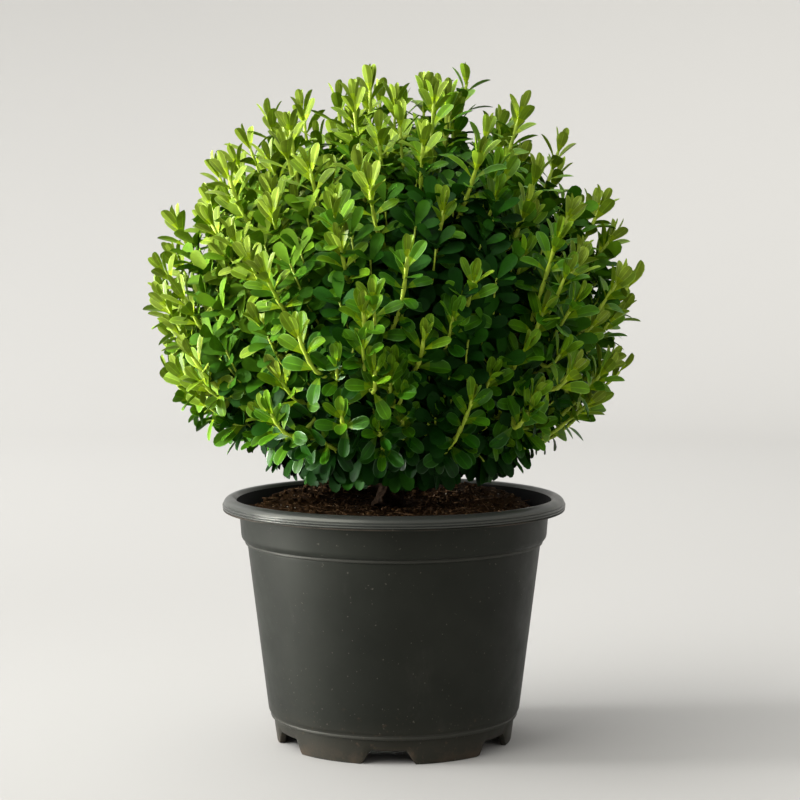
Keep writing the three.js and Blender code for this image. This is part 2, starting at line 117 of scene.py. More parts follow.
# Trunk and boughs
TRUNK_FOOT = np.array([-3.0, -17.0, SOIL_MIDDLE + GAP])
TRUNK_TIP = np.array([0.0, 0.0, 238.0])
TRUNK_BASE_RADIUS = 8.8
TRUNK_TIP_RADIUS = 5
TRUNK_KNEE = 0.4  # how far up it bends, as a share of its height
ROOT_FLARE = 3.5
ROOT_FLARE_HEIGHT = 11
ROOT_BUTTRESSES = 5
BOUGH_STAGGER = 8
BOUGH_BASE_RADIUS = 3
BOUGH_TIP_RADIUS = 2.2
BOUGH_ENDS = 0.44  # how far out, as a share of the crown's reach
STEM_ENDS = 0.7  # and how far out a mass's stem ends
BARK_VOXEL = 1.1
BARK_RELIEF = 0.9

# Crown
CROWN_MIDDLE = np.array([1.0, 0.0, 314.0])
CROWN_UPWARDS = 162
CROWN_SIDEWAYS = 173
CROWN_DOWNWARDS = 138
CROWN_UNDERSIDE = 184
FAN_POINT = np.array([0.0, 0.0, 195.0])
RINGS = [
    {"name": "top", "count": 1, "polar": 0, "turn": 0, "leaves_trunk_at": None},
    {"name": "upper", "count": 5, "polar": 28, "turn": 20, "leaves_trunk_at": 222},
    {"name": "middle", "count": 6, "polar": 54, "turn": -12, "leaves_trunk_at": 208},
    {"name": "lower", "count": 6, "polar": 82, "turn": 14, "leaves_trunk_at": 192},
]
SEED = 9
MAIN_SHOOTS = 129
LOWEST_MAIN_TIP = 138  # degrees from straight up
SHOOT_UNEVEN = 0.12
OUTLINE_SHOOTS = [
    [-86, 170], [-69, 168], [-53, 160], [-34, 161], [-15, 152], [-6, 158],
    [8, 155], [18, 169], [31, 149], [46, 164], [64, 165], [84, 172], [105, 173], [-105, 170],
]
OUTLINE_BAND = 24
SHOOT_PULL = 0.1

UP = np.array([0.0, 0.0, 1.0])
rng = np.random.default_rng(SEED)


# Small helpers
def unit(vectors):
    return vectors / np.linalg.norm(vectors, axis=-1, keepdims=True)


def smooth_step(start, end, value):
    share = np.clip((value - start) / (end - start), 0, 1)
    return share * share * (3 - 2 * share)


def mix(a, b, share):
    return a + (b - a) * share


def seeded(seed):
    """The same small random number generator that the solids grow by."""
    mask = 0xFFFFFFFF
    state = seed & mask

    def draw():
        nonlocal state
        state = (state + 0x6D2B79F5) & mask
        word = ((state ^ (state >> 15)) * (1 | state)) & mask
        word = ((word + (((word ^ (word >> 7)) * (61 | word)) & mask)) & mask) ^ word
        return (word ^ (word >> 14)) / (mask + 1)

    return draw


def mesh_object(name, vertices, faces, materials, material_index=None):
    """A mesh piece from millimetre corners and faces, which are arrays with one column per corner."""
    mesh = bpy.data.meshes.new(name)
    corners = np.asarray(vertices, dtype=np.float32).reshape(-1, 3) * MM
    mesh.vertices.add(len(corners))
    mesh.vertices.foreach_set("co", corners.ravel())
    groups = [np.asarray(group, dtype=np.int32) for group in faces if len(group)]
    loops = np.concatenate([group.ravel() for group in groups])
    sizes = np.concatenate([np.full(len(group), group.shape[1]) for group in groups])
    starts = np.concatenate([[0], np.cumsum(sizes)[:-1]]).astype(np.int32)
    mesh.loops.add(len(loops))
    mesh.loops.foreach_set("vertex_index", loops)
    mesh.polygons.add(len(starts))
    mesh.polygons.foreach_set("loop_start", starts)
    mesh.polygons.foreach_set("use_smooth", np.full(len(starts), True))
    for its_material in materials:
        mesh.materials.append(its_material)
    if material_index is not None:
        mesh.polygons.foreach_set("material_index", np.asarray(material_index, dtype=np.int32))
    mesh.update(calc_edges=True)
    mesh.validate()
    piece = bpy.data.objects.new(name, mesh)
    bpy.context.scene.collection.objects.link(piece)
    return piece


def full_turn(segments):
    return np.linspace(0, 2 * math.pi, segments, endpoint=False)


def ring_quads(rings, segments, flipped=False):
    """Quads between neighbouring rings of corners, each ring closed on itself."""
    column = np.arange(segments)
    following = (column + 1) % segments
    quads = np.concatenate([
        np.column_stack([column, following, following + segments, column + segments]) + ring * segments
        for ring in range(rings - 1)
    ])
    return quads[:, [0, 3, 2, 1]] if flipped else quads


def copied(faces, count, corners):
    """The faces of many copies of one shape that has this many corners."""
    shift = np.arange(count)[:, None, None] * corners
    return (faces[None] + shift).reshape(-1, faces.shape[1])


def hand_over(piece, nodes=()):
    """A finished piece rides on the plant and stands for its nodes, which it hides."""
    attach(piece, "root")
    if nodes:
        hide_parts(*nodes)


# Materials
def principled(name, color, roughness, **inputs):
    material = bpy.data.materials.new(name)
    material.use_nodes = True
    shader = material.node_tree.nodes["Principled BSDF"]
    shader.inputs["Base Color"].default_value = (*color, 1)
    shader.inputs["Roughness"].default_value = roughness
    for key, value in inputs.items():
        shader.inputs[key.replace("_", " ")].default_value = value
    return material, material.node_tree, shader


def noise_node(tree, scale, detail=4, roughness=0.6, stretch=None):
    """Noise in object space, with its scale in features per metre."""
    place = tree.nodes.new("ShaderNodeTexCoord")
    texture = tree.nodes.new("ShaderNodeTexNoise")
    texture.inputs["Scale"].default_value = scale
    texture.inputs["Detail"].default_value = detail
    texture.inputs["Roughness"].default_value = roughness
    source = place.outputs["Object"]
    if stretch is not None:
        mapping = tree.nodes.new("ShaderNodeMapping")
        mapping.inputs["Scale"].default_value = stretch
        tree.links.new(source, mapping.inputs["Vector"])
        source = mapping.outputs["Vector"]
    tree.links.new(source, texture.inputs["Vector"])
    return texture.outputs["Fac"]


def ramp(tree, value, stops):
    """Colours, or greys, at places from 0 to 1 along a value."""
    node = tree.nodes.new("ShaderNodeValToRGB")
    elements = node.color_ramp.elements
    while len(elements) < len(stops):
        elements.new(0.5)
    for element, (place, color) in zip(elements, stops):
        element.position = place
        element.color = (*color, 1) if isinstance(color, tuple) else (color, color, color, 1)
    tree.links.new(value, node.inputs["Fac"])
    return node.outputs["Color"]


def spots(tree, scale, low, high, **grain):
    """1 in spots where the noise is over a value, 0 where it is under another."""
    return ramp(tree, noise_node(tree, scale, **grain), [(low, 0.0), (high, 1.0)])


def feed(tree, socket, value):
    """Links an output to a socket, or sets the socket to a plain colour or number."""
    if isinstance(value, bpy.types.NodeSocket):
        tree.links.new(value, socket)
    elif isinstance(value, tuple):
        socket.default_value = (*value, 1)
    else:
        socket.default_value = value


def mixed(tree, factor, first, second):
    node = tree.nodes.new("ShaderNodeMix")
    node.data_type = "RGBA"
    for place, value in ((0, factor), (6, first), (7, second)):
        feed(tree, node.inputs[place], value)
    return node.outputs[2]


def arithmetic(tree, operation, first, second):
    node = tree.nodes.new("ShaderNodeMath")
    node.operation = operation
    node.use_clamp = True
    for place, value in enumerate((first, second)):
        feed(tree, node.inputs[place], value)
    return node.outputs[0]


def times(tree, first, second):
    return arithmetic(tree, "MULTIPLY", first, second)


def bumped(tree, shader, height, strength, distance):
    node = tree.nodes.new("ShaderNodeBump")
    node.inputs["Strength"].default_value = strength
    node.inputs["Distance"].default_value = distance * MM
    tree.links.new(height, node.inputs["Height"])
    tree.links.new(node.outputs["Normal"], shader.inputs["Normal"])


def height_mask(tree, low, high):
    """1 at and below a height in millimetres, 0 at and above another."""
    place = tree.nodes.new("ShaderNodeTexCoord")
    split = tree.nodes.new("ShaderNodeSeparateXYZ")
    tree.links.new(place.outputs["Object"], split.inputs[0])
    node = tree.nodes.new("ShaderNodeMapRange")
    node.interpolation_type = "SMOOTHSTEP"
    node.inputs["From Min"].default_value = low * MM
    node.inputs["From Max"].default_value = high * MM
    node.inputs["To Min"].default_value = 1
    node.inputs["To Max"].default_value = 0
    tree.links.new(split.outputs["Z"], node.inputs["Value"])
    return node.outputs["Result"]


def height_band(tree, low, high):
    """1 between two heights in millimetres, 0 above and below them."""
    edge = 0.2
    under_top = height_mask(tree, high - edge, high + edge)
    under_bottom = height_mask(tree, low - edge, low + edge)
    return arithmetic(tree, "SUBTRACT", under_top, under_bottom)


def distance_from_middle(tree, furthest):
    """How far a place is from the origin, as a share of a distance in millimetres."""
    place = tree.nodes.new("ShaderNodeTexCoord")
    length = tree.nodes.new("ShaderNodeVectorMath")
    length.operation = "LENGTH"
    tree.links.new(place.outputs["Object"], length.inputs[0])
    return arithmetic(tree, "DIVIDE", length.outputs["Value"], furthest * MM)


def pot_plastic(name, sheen, smooth_with_painted_sheen):
    """Charcoal moulded plastic: soft sheen, fine grain, earth-brown dust on the foot and the rim's lip, and
    painted highlights on two beads.

    The last argument is 1 on the rim, where the plastic is smoother and painted paler as a painted sheen,
    and 0 elsewhere.
    """
    material, tree, shader = principled(
        name, (0.01, 0.011, 0.01), 0.5, Specular_IOR_Level=sheen, Specular_Tint=(1, 1, 0.86, 1)
    )
    color = ramp(
        tree,
        noise_node(tree, 13, detail=5),
        [(0.3, (0.006, 0.0072, 0.0058)), (0.7, (0.0125, 0.014, 0.0112))],
    )
    smears = spots(tree, 30, 0.6, 0.78, detail=6, roughness=0.75, stretch=(1, 1, 0.45))
    foot_film = height_mask(tree, 8, 34)
    foot_dust = times(tree, height_mask(tree, 1, 15), spots(tree, 42, 0.47, 0.66, detail=7, roughness=0.7))
    body_dust = times(tree, height_mask(tree, 18, 48), spots(tree, 270, 0.61, 0.69))
    uneven_dust = ramp(tree, noise_node(tree, 26), [(0.4, 0.1), (0.62, 1.0)])
    lip_dust = times(tree, height_band(tree, BAND_TOP, BAND_TOP + 1.4), uneven_dust)
    specks = spots(tree, 480, 0.74, 0.77, detail=1)
    # painted highlights: the beads at the shoulder and above the heel are painted lighter, where they catch
    # the light
    shoulder_bead_highlight = height_band(tree, SHOULDER + 0.1, SHOULDER + 2.3)
    heel_bead_highlight = height_band(tree, FOOT_TOP + 0.4, HEEL - 0.6)
    for place, share, tint in (
        (smears, 0.35, (0.035, 0.034, 0.029)),
        (foot_film, 0.5, (0.034, 0.031, 0.024)),
        (foot_dust, 0.65, (0.072, 0.049, 0.033)),
        (body_dust, 0.3, (0.1, 0.064, 0.04)),
        (lip_dust, 0.6, (0.06, 0.045, 0.034)),
        (specks, 0.35, (0.16, 0.145, 0.12)),
        # the rim painted paler: a painted sheen
        (smooth_with_painted_sheen, 0.55, (0.047, 0.05, 0.047)),
        (arithmetic(tree, "ADD", shoulder_bead_highlight, heel_bead_highlight), 0.6, (0.038, 0.038, 0.033)),
    ):
        color = mixed(tree, times(tree, place, share), color, tint)
    tree.links.new(color, shader.inputs["Base Color"])
    uneven = ramp(tree, noise_node(tree, 60), [(0.3, 0.44 - 0.16 * smooth_with_painted_sheen), (0.7, 0.56 - 0.16 * smooth_with_painted_sheen)])
    tree.links.new(uneven, shader.inputs["Roughness"])
    bumped(tree, shader, noise_node(tree, 900, detail=2), 0.22, 0.1)
    return material


def pot_inner_wall_painted_shade():
    """The same plastic inside, painted darker as painted shade, and dull with soil."""
    material, tree, shader = principled(
        "pot_inner_wall_painted_shade", (0.004, 0.0042, 0.0036), 0.7, Specular_IOR_Level=0.06
    )
    bumped(tree, shader, noise_node(tree, 400, detail=3), 0.2, 0.2)
    return material


def potting_soil():
    """Moist dark peat with tan fibres and crumbs in it: its own dark colours, darkened further as painted
    shade under the crown.
    """
    material, tree, shader = principled("potting_soil", (0.05, 0.025, 0.012), 0.95, Specular_IOR_Level=0.05)
    clumps = noise_node(tree, 210, detail=8, roughness=0.75)
    color = ramp(
        tree,
        clumps,
        [(0.34, (0.008, 0.0034, 0.001)), (0.5, (0.028, 0.0135, 0.0042)), (0.66, (0.075, 0.04, 0.016))],
    )
    tan_bits = times(tree, spots(tree, 520, 0.68, 0.71, detail=2), 0.6)
    color = mixed(tree, tan_bits, color, (0.17, 0.095, 0.05))
    tree.links.new(color, shader.inputs["Base Color"])
    bumped(tree, shader, clumps, 1.0, 1.5)
    return material


def soil_crumbs(name, dark, light):
    material, tree, shader = principled(name, light, 0.9, Specular_IOR_Level=0.06)
    color = ramp(tree, noise_node(tree, 300, detail=5), [(0.35, dark), (0.65, light)])
    tree.links.new(color, shader.inputs["Base Color"])
    bumped(tree, shader, noise_node(tree, 1200, detail=3), 0.6, 0.4)
    return material


def bark(name, dark, light):
    """Brown bark with streaks along the limb and small cracks."""
    material, tree, shader = principled(name, light, 0.85, Specular_IOR_Level=0.04)
    streaks = noise_node(tree, 130, detail=7, roughness=0.7, stretch=(1.6, 1.6, 0.5))
    color = ramp(tree, streaks, [(0.32, dark), (0.68, light)])
    tree.links.new(color, shader.inputs["Base Color"])
    bumped(tree, shader, streaks, 0.8, 1.0)
    return material


def twig_skin(name, dark, light):
    material, tree, shader = principled(name, light, 0.6)
    color = ramp(tree, noise_node(tree, 260, detail=4), [(0.35, dark), (0.65, light)])
    tree.links.new(color, shader.inputs["Base Color"])
    bumped(tree, shader, noise_node(tree, 700, detail=3), 0.3, 0.3)
    return material


def lighter(color, factor):
    return tuple(min(1.0, channel * factor) for channel in color)


def leaf_skin(name, color, roughness=0.42, sheen=0.09):
    """A leaf's smooth upper skin: its base colour, a little lighter and darker from place to place."""
    material, tree, shader = principled(name, color, roughness, Specular_IOR_Level=sheen)
    dark = lighter(color, 1 - LEAF_UNEVEN)
    light = lighter(color, 1 + LEAF_UNEVEN)
    tone = ramp(tree, noise_node(tree, 75, detail=3), [(0.36, dark), (0.64, light)])
    tree.links.new(tone, shader.inputs["Base Color"])
    bumped(tree, shader, noise_node(tree, 850, detail=3), 0.12, 0.25)
    return material


# The pot: a body turned about its axis, with notches in its foot
def filleted(corners):
    """A profile of (radius, height, rounding) corners, each rounded by a short curve."""
    points = []
    count = len(corners)
    for i, (radius, height, rounding) in enumerate(corners):
        here = np.array([radius, height], float)
        if i in (0, count - 1) or rounding == 0:
            points.append(here)
            continue
        before = np.array(corners[i - 1][:2], float) - here
        after = np.array(corners[i + 1][:2], float) - here
        start = here + before * min(0.5, rounding / np.linalg.norm(before))
        end = here + after * min(0.5, rounding / np.linalg.norm(after))
        for share in np.linspace(0, 1, 5):
            points.append((1 - share) ** 2 * start + 2 * share * (1 - share) * here + share**2 * end)
    return np.array(points)


def pot_inside(height):
    if height < SHOULDER:
        share = (height - HEEL) / (SHOULDER - HEEL)
        return mix(HEEL_RADIUS, SHOULDER_RADIUS, share) - POT_WALL
    share = (height - SHOULDER) / (BAND_TOP - SHOULDER)
    return mix(SHOULDER_RADIUS, BAND_RADIUS, share) - POT_WALL


def pot_profile():
    """The pot's half section, from its foot up the outside, over the rim and down to the floor."""
    rim = RIM_RADIUS
    top = POT_HEIGHT
    return filleted([
        (FOOT_RADIUS, 0, 0),
        (mix(FOOT_RADIUS, FOOT_TOP_RADIUS, 0.45) - 0.15, 7, 2),
        (FOOT_TOP_RADIUS - 0.2, FOOT_TOP - 0.6, 0.6),
        (FOOT_TOP_RADIUS - 0.1, FOOT_TOP, 0.3),
        (FOOT_TOP_RADIUS + 1.7, FOOT_TOP + 0.3, 0.5),
        (FOOT_TOP_RADIUS + 2.1, FOOT_TOP + 1.7, 0.8),
        (FOOT_TOP_RADIUS + 1.6, FOOT_TOP + 2.6, 0.4),
        (HEEL_RADIUS, HEEL + 0.5, 1.4),
        (SHOULDER_RADIUS, SHOULDER - 1.2, 0.6),
        (SHOULDER_RADIUS, SHOULDER - 0.2, 0.2),
        (SHOULDER_RADIUS + 1.5, SHOULDER, 0.4),
        (SHOULDER_RADIUS + 1.9, SHOULDER + 1.1, 0.7),
        (SHOULDER_RADIUS + 1.4, SHOULDER + 2.1, 0.3),
        (SHOULDER_RADIUS + 2.4, SHOULDER + 2.4, 0.4),
        (BAND_RADIUS - 0.6, BAND_BOTTOM - 0.2, 2.2),
        (BAND_RADIUS + 0.8, BAND_TOP - 0.2, 0.2),
        (rim - 2.2, BAND_TOP + 0.1, 0.5),
        (rim - 0.6, BAND_TOP + 0.3, 0.4),
        (rim - 0.2, BAND_TOP + 1.0, 0.4),
        (rim - 0.9, BAND_TOP + 1.4, 0.15),
        (rim - 0.9, BAND_TOP + 1.6, 0.15),
        (rim - 0.1, BAND_TOP + 1.9, 0.4),
        (rim - 0.1, BAND_TOP + 2.7, 0.4),
        (rim - 0.9, BAND_TOP + 3.0, 0.15),
        (rim - 0.9, BAND_TOP + 3.2, 0.15),
        (rim, BAND_TOP + 3.5, 0.4),
        (rim, BAND_TOP + 4.4, 0.4),
        (rim - 1.0, BAND_TOP + 4.8, 0.15),
        (rim - 1.0, BAND_TOP + 5.0, 0.15),
        (rim - 0.7, BAND_TOP + 5.3, 0.3),
        (rim - 1.5, top - 2.3, 1.2),
        (rim - 4.0, top - 0.5, 1.6),
        (rim - 7.2, top, 1.4),
        (rim - 9.1, top - 1.7, 1.2),
        (pot_inside(BAND_TOP), BAND_TOP, 3),
        (pot_inside(SHOULDER), SHOULDER, 3),
        (pot_inside(HEEL), HEEL, 3),
        (pot_inside(HEEL) - 4, POT_FLOOR + POT_WALL, 1.5),
        (0, POT_FLOOR + POT_WALL, 0),
    ])


def notch_height(angle):
    """How far up the foot is cut away at an angle round the pot, measured from the camera side."""
    pitch = 2 * math.pi / NOTCHES
    from_notch = (angle - math.radians(NOTCH_TURN) + pitch / 2) % pitch - pitch / 2
    across = abs(FOOT_RADIUS * math.sin(from_notch))
    slope = (NOTCH_WIDTH - NOTCH_TOP_WIDTH) / 2
    share = np.clip((NOTCH_WIDTH / 2 - across) / slope, 0, 1)
    rounded = smooth_step(0, 1, share)
    return NOTCH_HEIGHT * mix(share, rounded, 0.55)


def foot_underside(cut, edge):
    """Rings of (radius, heights) from the middle of the pot's floor out to the foot's edge."""
    inner = FOOT_RADIUS - FOOT_WALL
    return [
        (AXIS_RADIUS, np.full(POT_SEGMENTS, POT_FLOOR)),
        (inner - 3, np.full(POT_SEGMENTS, POT_FLOOR)),
        (inner, np.maximum(cut + edge, POT_FLOOR - 1.5)),
        (inner, cut + edge),
        (inner + edge, cut),
        (FOOT_RADIUS - edge, cut),
        (FOOT_RADIUS + 0.05, cut + edge),
    ]


def outer_foot_heights(height, cut):
    """The foot's outer face keeps its rings: over a notch they are pressed together."""
    straight = FOOT_TOP - 1.2
    return mix(cut, straight, height / straight)


def pot():
    profile = pot_profile()
    angles = full_turn(POT_SEGMENTS)
    cut = np.array([notch_height(angle) for angle in angles])
    top = int(np.argmax(profile[:, 1]))
    rings = foot_underside(cut, edge=0.5)
    for index, (radius, height) in enumerate(profile[1:], start=1):
        heights = np.full(POT_SEGMENTS, height)
        if index < top and height < FOOT_TOP - 2:
            heights = outer_foot_heights(height, cut)
        rings.append((max(radius, AXIS_RADIUS), heights))
    around = np.stack([np.sin(angles), -np.cos(angles)], axis=1)
    vertices = np.concatenate([
        np.column_stack([around * radius, heights]) for radius, heights in rings
    ])
    faces = ring_quads(len(rings), POT_SEGMENTS)
    ring_height = np.array([heights[0] for radius, heights in rings[:-1]])
    inner_wall = len(rings) - len(profile) + top + RINGS_OVER_LIP
    skin = np.where(ring_height > RIM_BOTTOM, 2, 0)
    skin[inner_wall:] = 1
    plastic = pot_plastic("pot_plastic", sheen=0.18, smooth_with_painted_sheen=0)
    # the rim's copy of the plastic: smoother, and painted paler as a painted sheen
    rim_plastic_painted_sheen = pot_plastic("pot_rim_plastic_painted_sheen", sheen=0.48, smooth_with_painted_sheen=1)
    skins = [plastic, pot_inner_wall_painted_shade(), rim_plastic_painted_sheen]
    piece = mesh_object("pot_body", vertices, [faces], skins, np.repeat(skin, POT_SEGMENTS))
    weld(piece)
    drill(piece)
    smooth_by_angle(piece, 35)
    hand_over(piece, ["pot"])


def weld(piece):
    """Closes the pot on its axis."""
    work = bmesh.new()
    work.from_mesh(piece.data)
    bmesh.ops.remove_doubles(work, verts=work.verts, dist=0.01 * MM)
    bmesh.ops.recalc_face_normals(work, faces=work.faces)
    work.to_mesh(piece.data)
    work.free()


def drill(piece):
    """Drills the drain holes in the pot's floor."""
    drills = bmesh.new()
    for i in range(DRAIN_HOLES):
        turn = 2 * math.pi * i / DRAIN_HOLES
        ring = bmesh.ops.create_cone(
            drills,
            cap_ends=True,
            segments=24,
            radius1=DRAIN_RADIUS * MM,
            radius2=DRAIN_RADIUS * MM,
            depth=20 * MM,
        )
        place = Vector((math.cos(turn), math.sin(turn), 0)) * DRAIN_CIRCLE * MM
        place.z = POT_FLOOR * MM
        bmesh.ops.translate(drills, verts=ring["verts"], vec=place)
    cutter_mesh = bpy.data.meshes.new("drills")
    drills.to_mesh(cutter_mesh)
    drills.free()
    cutter = bpy.data.objects.new("drills", cutter_mesh)
    bpy.context.scene.collection.objects.link(cutter)
    boolean = piece.modifiers.new("drain_holes", "BOOLEAN")
    boolean.object = cutter
    boolean.solver = "EXACT"
    apply_modifiers(piece)
    bpy.data.objects.remove(cutter)


def apply_modifiers(piece):
    graph = bpy.context.evaluated_depsgraph_get()
    finished = bpy.data.meshes.new_from_object(piece.evaluated_get(graph))
    piece.modifiers.clear()
    piece.data = finished


def smooth_by_angle(piece, degrees):
    piece.data.polygons.foreach_set("use_smooth", np.full(len(piece.data.polygons), True))
    work = bmesh.new()
    work.from_mesh(piece.data)
    for edge in work.edges:
        edge.smooth = len(edge.link_faces) == 2 and edge.calc_face_angle() < math.radians(degrees)
    work.to_mesh(piece.data)
    work.free()


# The soil
def soil_height(x, y, edge):
    """The solid's surface: flat under the trunk, heaped up towards the back, lowest along the wall."""
    distance = np.hypot(x, y)
    uneven = smooth_step(SOIL_FLAT_RADIUS, SOIL_UNEVEN_RADIUS, distance)
    lumps = np.sin(x * 0.11 + 1) * np.cos(y * 0.13 - 2) + np.sin(x * 0.05 - y * 0.21)
    rise = SOIL_RISE * smooth_step(SOIL_RISE_FROM, SOIL_RISE_TO, y)
    heap = SOIL_MIDDLE + uneven * (rise + SOIL_LUMP * lumps)
    return heap + (SOIL_EDGE - heap) * smooth_step(SOIL_BRINK, edge, distance)


def soil_relief(x, y):
    """Crumbly clods on the soil's surface, from -1 to 1."""
    total = 0.0
    for scale, share in ((0.06, 0.5), (0.17, 0.3), (0.45, 0.2)):
        total += share * noise.noise(Vector((x * scale, y * scale, 3.7)))
    return total


def soil():
    """The soil's uneven surface, and under it a plain body that fills the pot."""
    edge = pot_inside(SOIL_EDGE) - GAP
    radii = edge * (np.arange(SOIL_RINGS) + 0.5) / (SOIL_RINGS - 0.5)
    turns = full_turn(SOIL_SEGMENTS)
    x = np.outer(radii, np.cos(turns)).ravel()
    y = np.outer(radii, np.sin(turns)).ravel()
    relief = np.array([soil_relief(a, b) for a, b in zip(x, y)])
    fade = smooth_step(edge, edge - 6, np.hypot(x, y)) * 0.75 + 0.25
    surface = soil_height(x, y, edge) + SOIL_CLODS * relief * fade
    vertices = [np.column_stack([x, y, surface])]
    underside = POT_FLOOR + POT_WALL + GAP
    for height, radius in (
        (SHOULDER, pot_inside(SHOULDER) - GAP),
        (HEEL, pot_inside(HEEL) - GAP),
        (underside, pot_inside(HEEL) - GAP - 4),
    ):
        vertices.append(np.column_stack([
            radius * np.cos(turns), radius * np.sin(turns), np.full(SOIL_SEGMENTS, height)
        ]))
    rings = SOIL_RINGS + 3
    quads = ring_quads(rings, SOIL_SEGMENTS, flipped=True)
    top_middle = rings * SOIL_SEGMENTS
    vertices.append(np.array([
        [0, 0, surface[:SOIL_SEGMENTS].mean()],
        [0, 0, underside],
    ]))
    column = np.arange(SOIL_SEGMENTS)
    following = (column + 1) % SOIL_SEGMENTS
    last = top_middle - SOIL_SEGMENTS
    fans = np.concatenate([
        np.column_stack([column, following, np.full(SOIL_SEGMENTS, top_middle)]),
        np.column_stack([last + following, last + column, np.full(SOIL_SEGMENTS, top_middle + 1)]),
    ])
    piece = mesh_object("soil_bed", np.concatenate(vertices), [quads, fans], [potting_soil()])
    hand_over(piece, ["soil"])


def crumb_shape():
    work = bmesh.new()
    bmesh.ops.create_icosphere(work, subdivisions=1, radius=1)
    corners = np.array([list(v.co) for v in work.verts])
    faces = np.array([[v.index for v in f.verts] for f in work.faces])
    work.free()
    return corners, faces


def scattered_on_soil(count):
    """Places spread evenly over the soil's surface, round the trunk."""
    edge = pot_inside(SOIL_EDGE) - 4
    radius = np.sqrt(rng.uniform((CLEAR_OF_TRUNK / edge) ** 2, 1, count)) * edge
    turn = rng.uniform(0, 2 * math.pi, count)
    x, y = radius * np.cos(turn), radius * np.sin(turn)
    relief = np.array([soil_relief(a, b) for a, b in zip(x, y)])
    return np.column_stack([x, y, soil_height(x, y, edge + 4 - GAP) + SOIL_CLODS * relief])


def crumbs(name, count, sizes, its_material):
    corners, faces = crumb_shape()
    places = scattered_on_soil(count)
    size = rng.uniform(*sizes, count)
    stretch = rng.uniform(0.55, 1.35, (count, 1, 3))
    jitter = rng.uniform(0.75, 1.25, (count, len(corners), 1))
    turned = corners[None] * jitter * stretch * size[:, None, None]
    angle = rng.uniform(0, 2 * math.pi, count)
    c, s = np.cos(angle)[:, None], np.sin(angle)[:, None]
    x = turned[..., 0] * c - turned[..., 1] * s
    y = turned[..., 0] * s + turned[..., 1] * c
    placed = np.stack([x, y, turned[..., 2]], axis=-1) + places[:, None]
    piece = mesh_object(name, placed, [copied(faces, count, len(corners))], [its_material])
    hand_over(piece)


def soil_fibres():
    """Thin bent root and peat fibres lying in the surface."""
    tubes = []
    for place in scattered_on_soil(FIBRES):
        heading = rng.uniform(0, 2 * math.pi)
        length = rng.uniform(5, 16)
        lean = rng.uniform(-0.12, 0.18)
        along = np.array([math.cos(heading), math.sin(heading), lean])
        side = np.array([-along[1], along[0], 0]) * rng.uniform(-0.35, 0.35)
        shares = np.linspace(0, 1, 5)[:, None]
        line = place + length * (shares - 0.5) * along + length * side * (shares - 0.5) ** 2
        line[:, 2] += 0.5
        tubes.append((line, np.full(5, rng.uniform(0.2, 0.42))))
    fibre_skin = soil_crumbs("soil_fibre", (0.045, 0.024, 0.011), (0.12, 0.068, 0.034))
    tube_piece("soil_fibres", tubes, 4, fibre_skin)


# Tubes along lines: twigs, limbs and fibres
def tube(line, radii, sides):
    """Corners and quads of a closed tube along a line of points."""
    tangents = unit(np.gradient(line, axis=0))
    helper = np.array([1.0, 0.0, 0.0]) if abs(tangents[0, 2]) > 0.9 else UP
    across = unit(np.cross(helper, tangents))
    upward = np.cross(tangents, across)
    turns = full_turn(sides)
    circle = (
        across[:, None] * np.cos(turns)[None, :, None] + upward[:, None] * np.sin(turns)[None, :, None]
    )
    corners = (line[:, None] + circle * radii[:, None, None]).reshape(-1, 3)
    first = np.zeros(sides - 2, int)
    second = np.arange(1, sides - 1)
    last_ring = (len(line) - 1) * sides
    ends = np.concatenate([
        np.column_stack([first, second + 1, second]),
        last_ring + np.column_stack([first, second, second + 1]),
    ])
    return corners, ring_quads(len(line), sides), ends


def tube_mesh(tubes, sides):
    corners, quads, ends, offset = [], [], [], 0
    for line, radii in tubes:
        its_corners, its_quads, its_ends = tube(line, radii, sides)
        corners.append(its_corners)
        quads.append(its_quads + offset)
        ends.append(its_ends + offset)
        offset += len(its_corners)
    return np.concatenate(corners), [np.concatenate(quads), np.concatenate(ends)]


def tube_piece(name, tubes, sides, its_material):
    corners, faces = tube_mesh(tubes, sides)
    hand_over(mesh_object(name, corners, faces, [its_material]))


def curve_points(control, shares):
    """Points on a Bezier curve, given by its control points."""
    shares = np.asarray(shares)[:, None]
    points = [np.asarray(point)[None] for point in control]
    while len(points) > 1:
        points = [mix(a, b, shares) for a, b in zip(points, points[1:])]
    return points[0]


def curve_length(control):
    return np.linalg.norm(np.diff(curve_points(control, np.linspace(0, 1, 25)), axis=0), axis=1).sum()


# The crown's shape and its masses, as in the solids
def crown_radius(direction):
    towards = np.where(direction[..., 2] > 0, CROWN_UPWARDS, CROWN_DOWNWARDS)
    return CROWN_SIDEWAYS + (towards - CROWN_SIDEWAYS) * direction[..., 2] ** 2


def inside_crown(point):
    from_middle = point - CROWN_MIDDLE
    return np.linalg.norm(from_middle) < crown_radius(unit(from_middle))


def reach(direction):
    """How far it is from the fan's point to the crown's outline."""
    near, far = 0.0, 2.0 * CROWN_SIDEWAYS
    while far - near > 0.05:
        middle = (near + far) / 2
        if inside_crown(FAN_POINT + direction * middle):
            near = middle
        else:
            far = middle
    return near


def direction_of(polar, azimuth):
    """Angles in degrees: polar from straight up, azimuth from -Y towards +X."""
    down, around = math.radians(polar), math.radians(azimuth)
    return np.array([
        math.sin(down) * math.sin(around), -math.sin(down) * math.cos(around), math.cos(down)
    ])


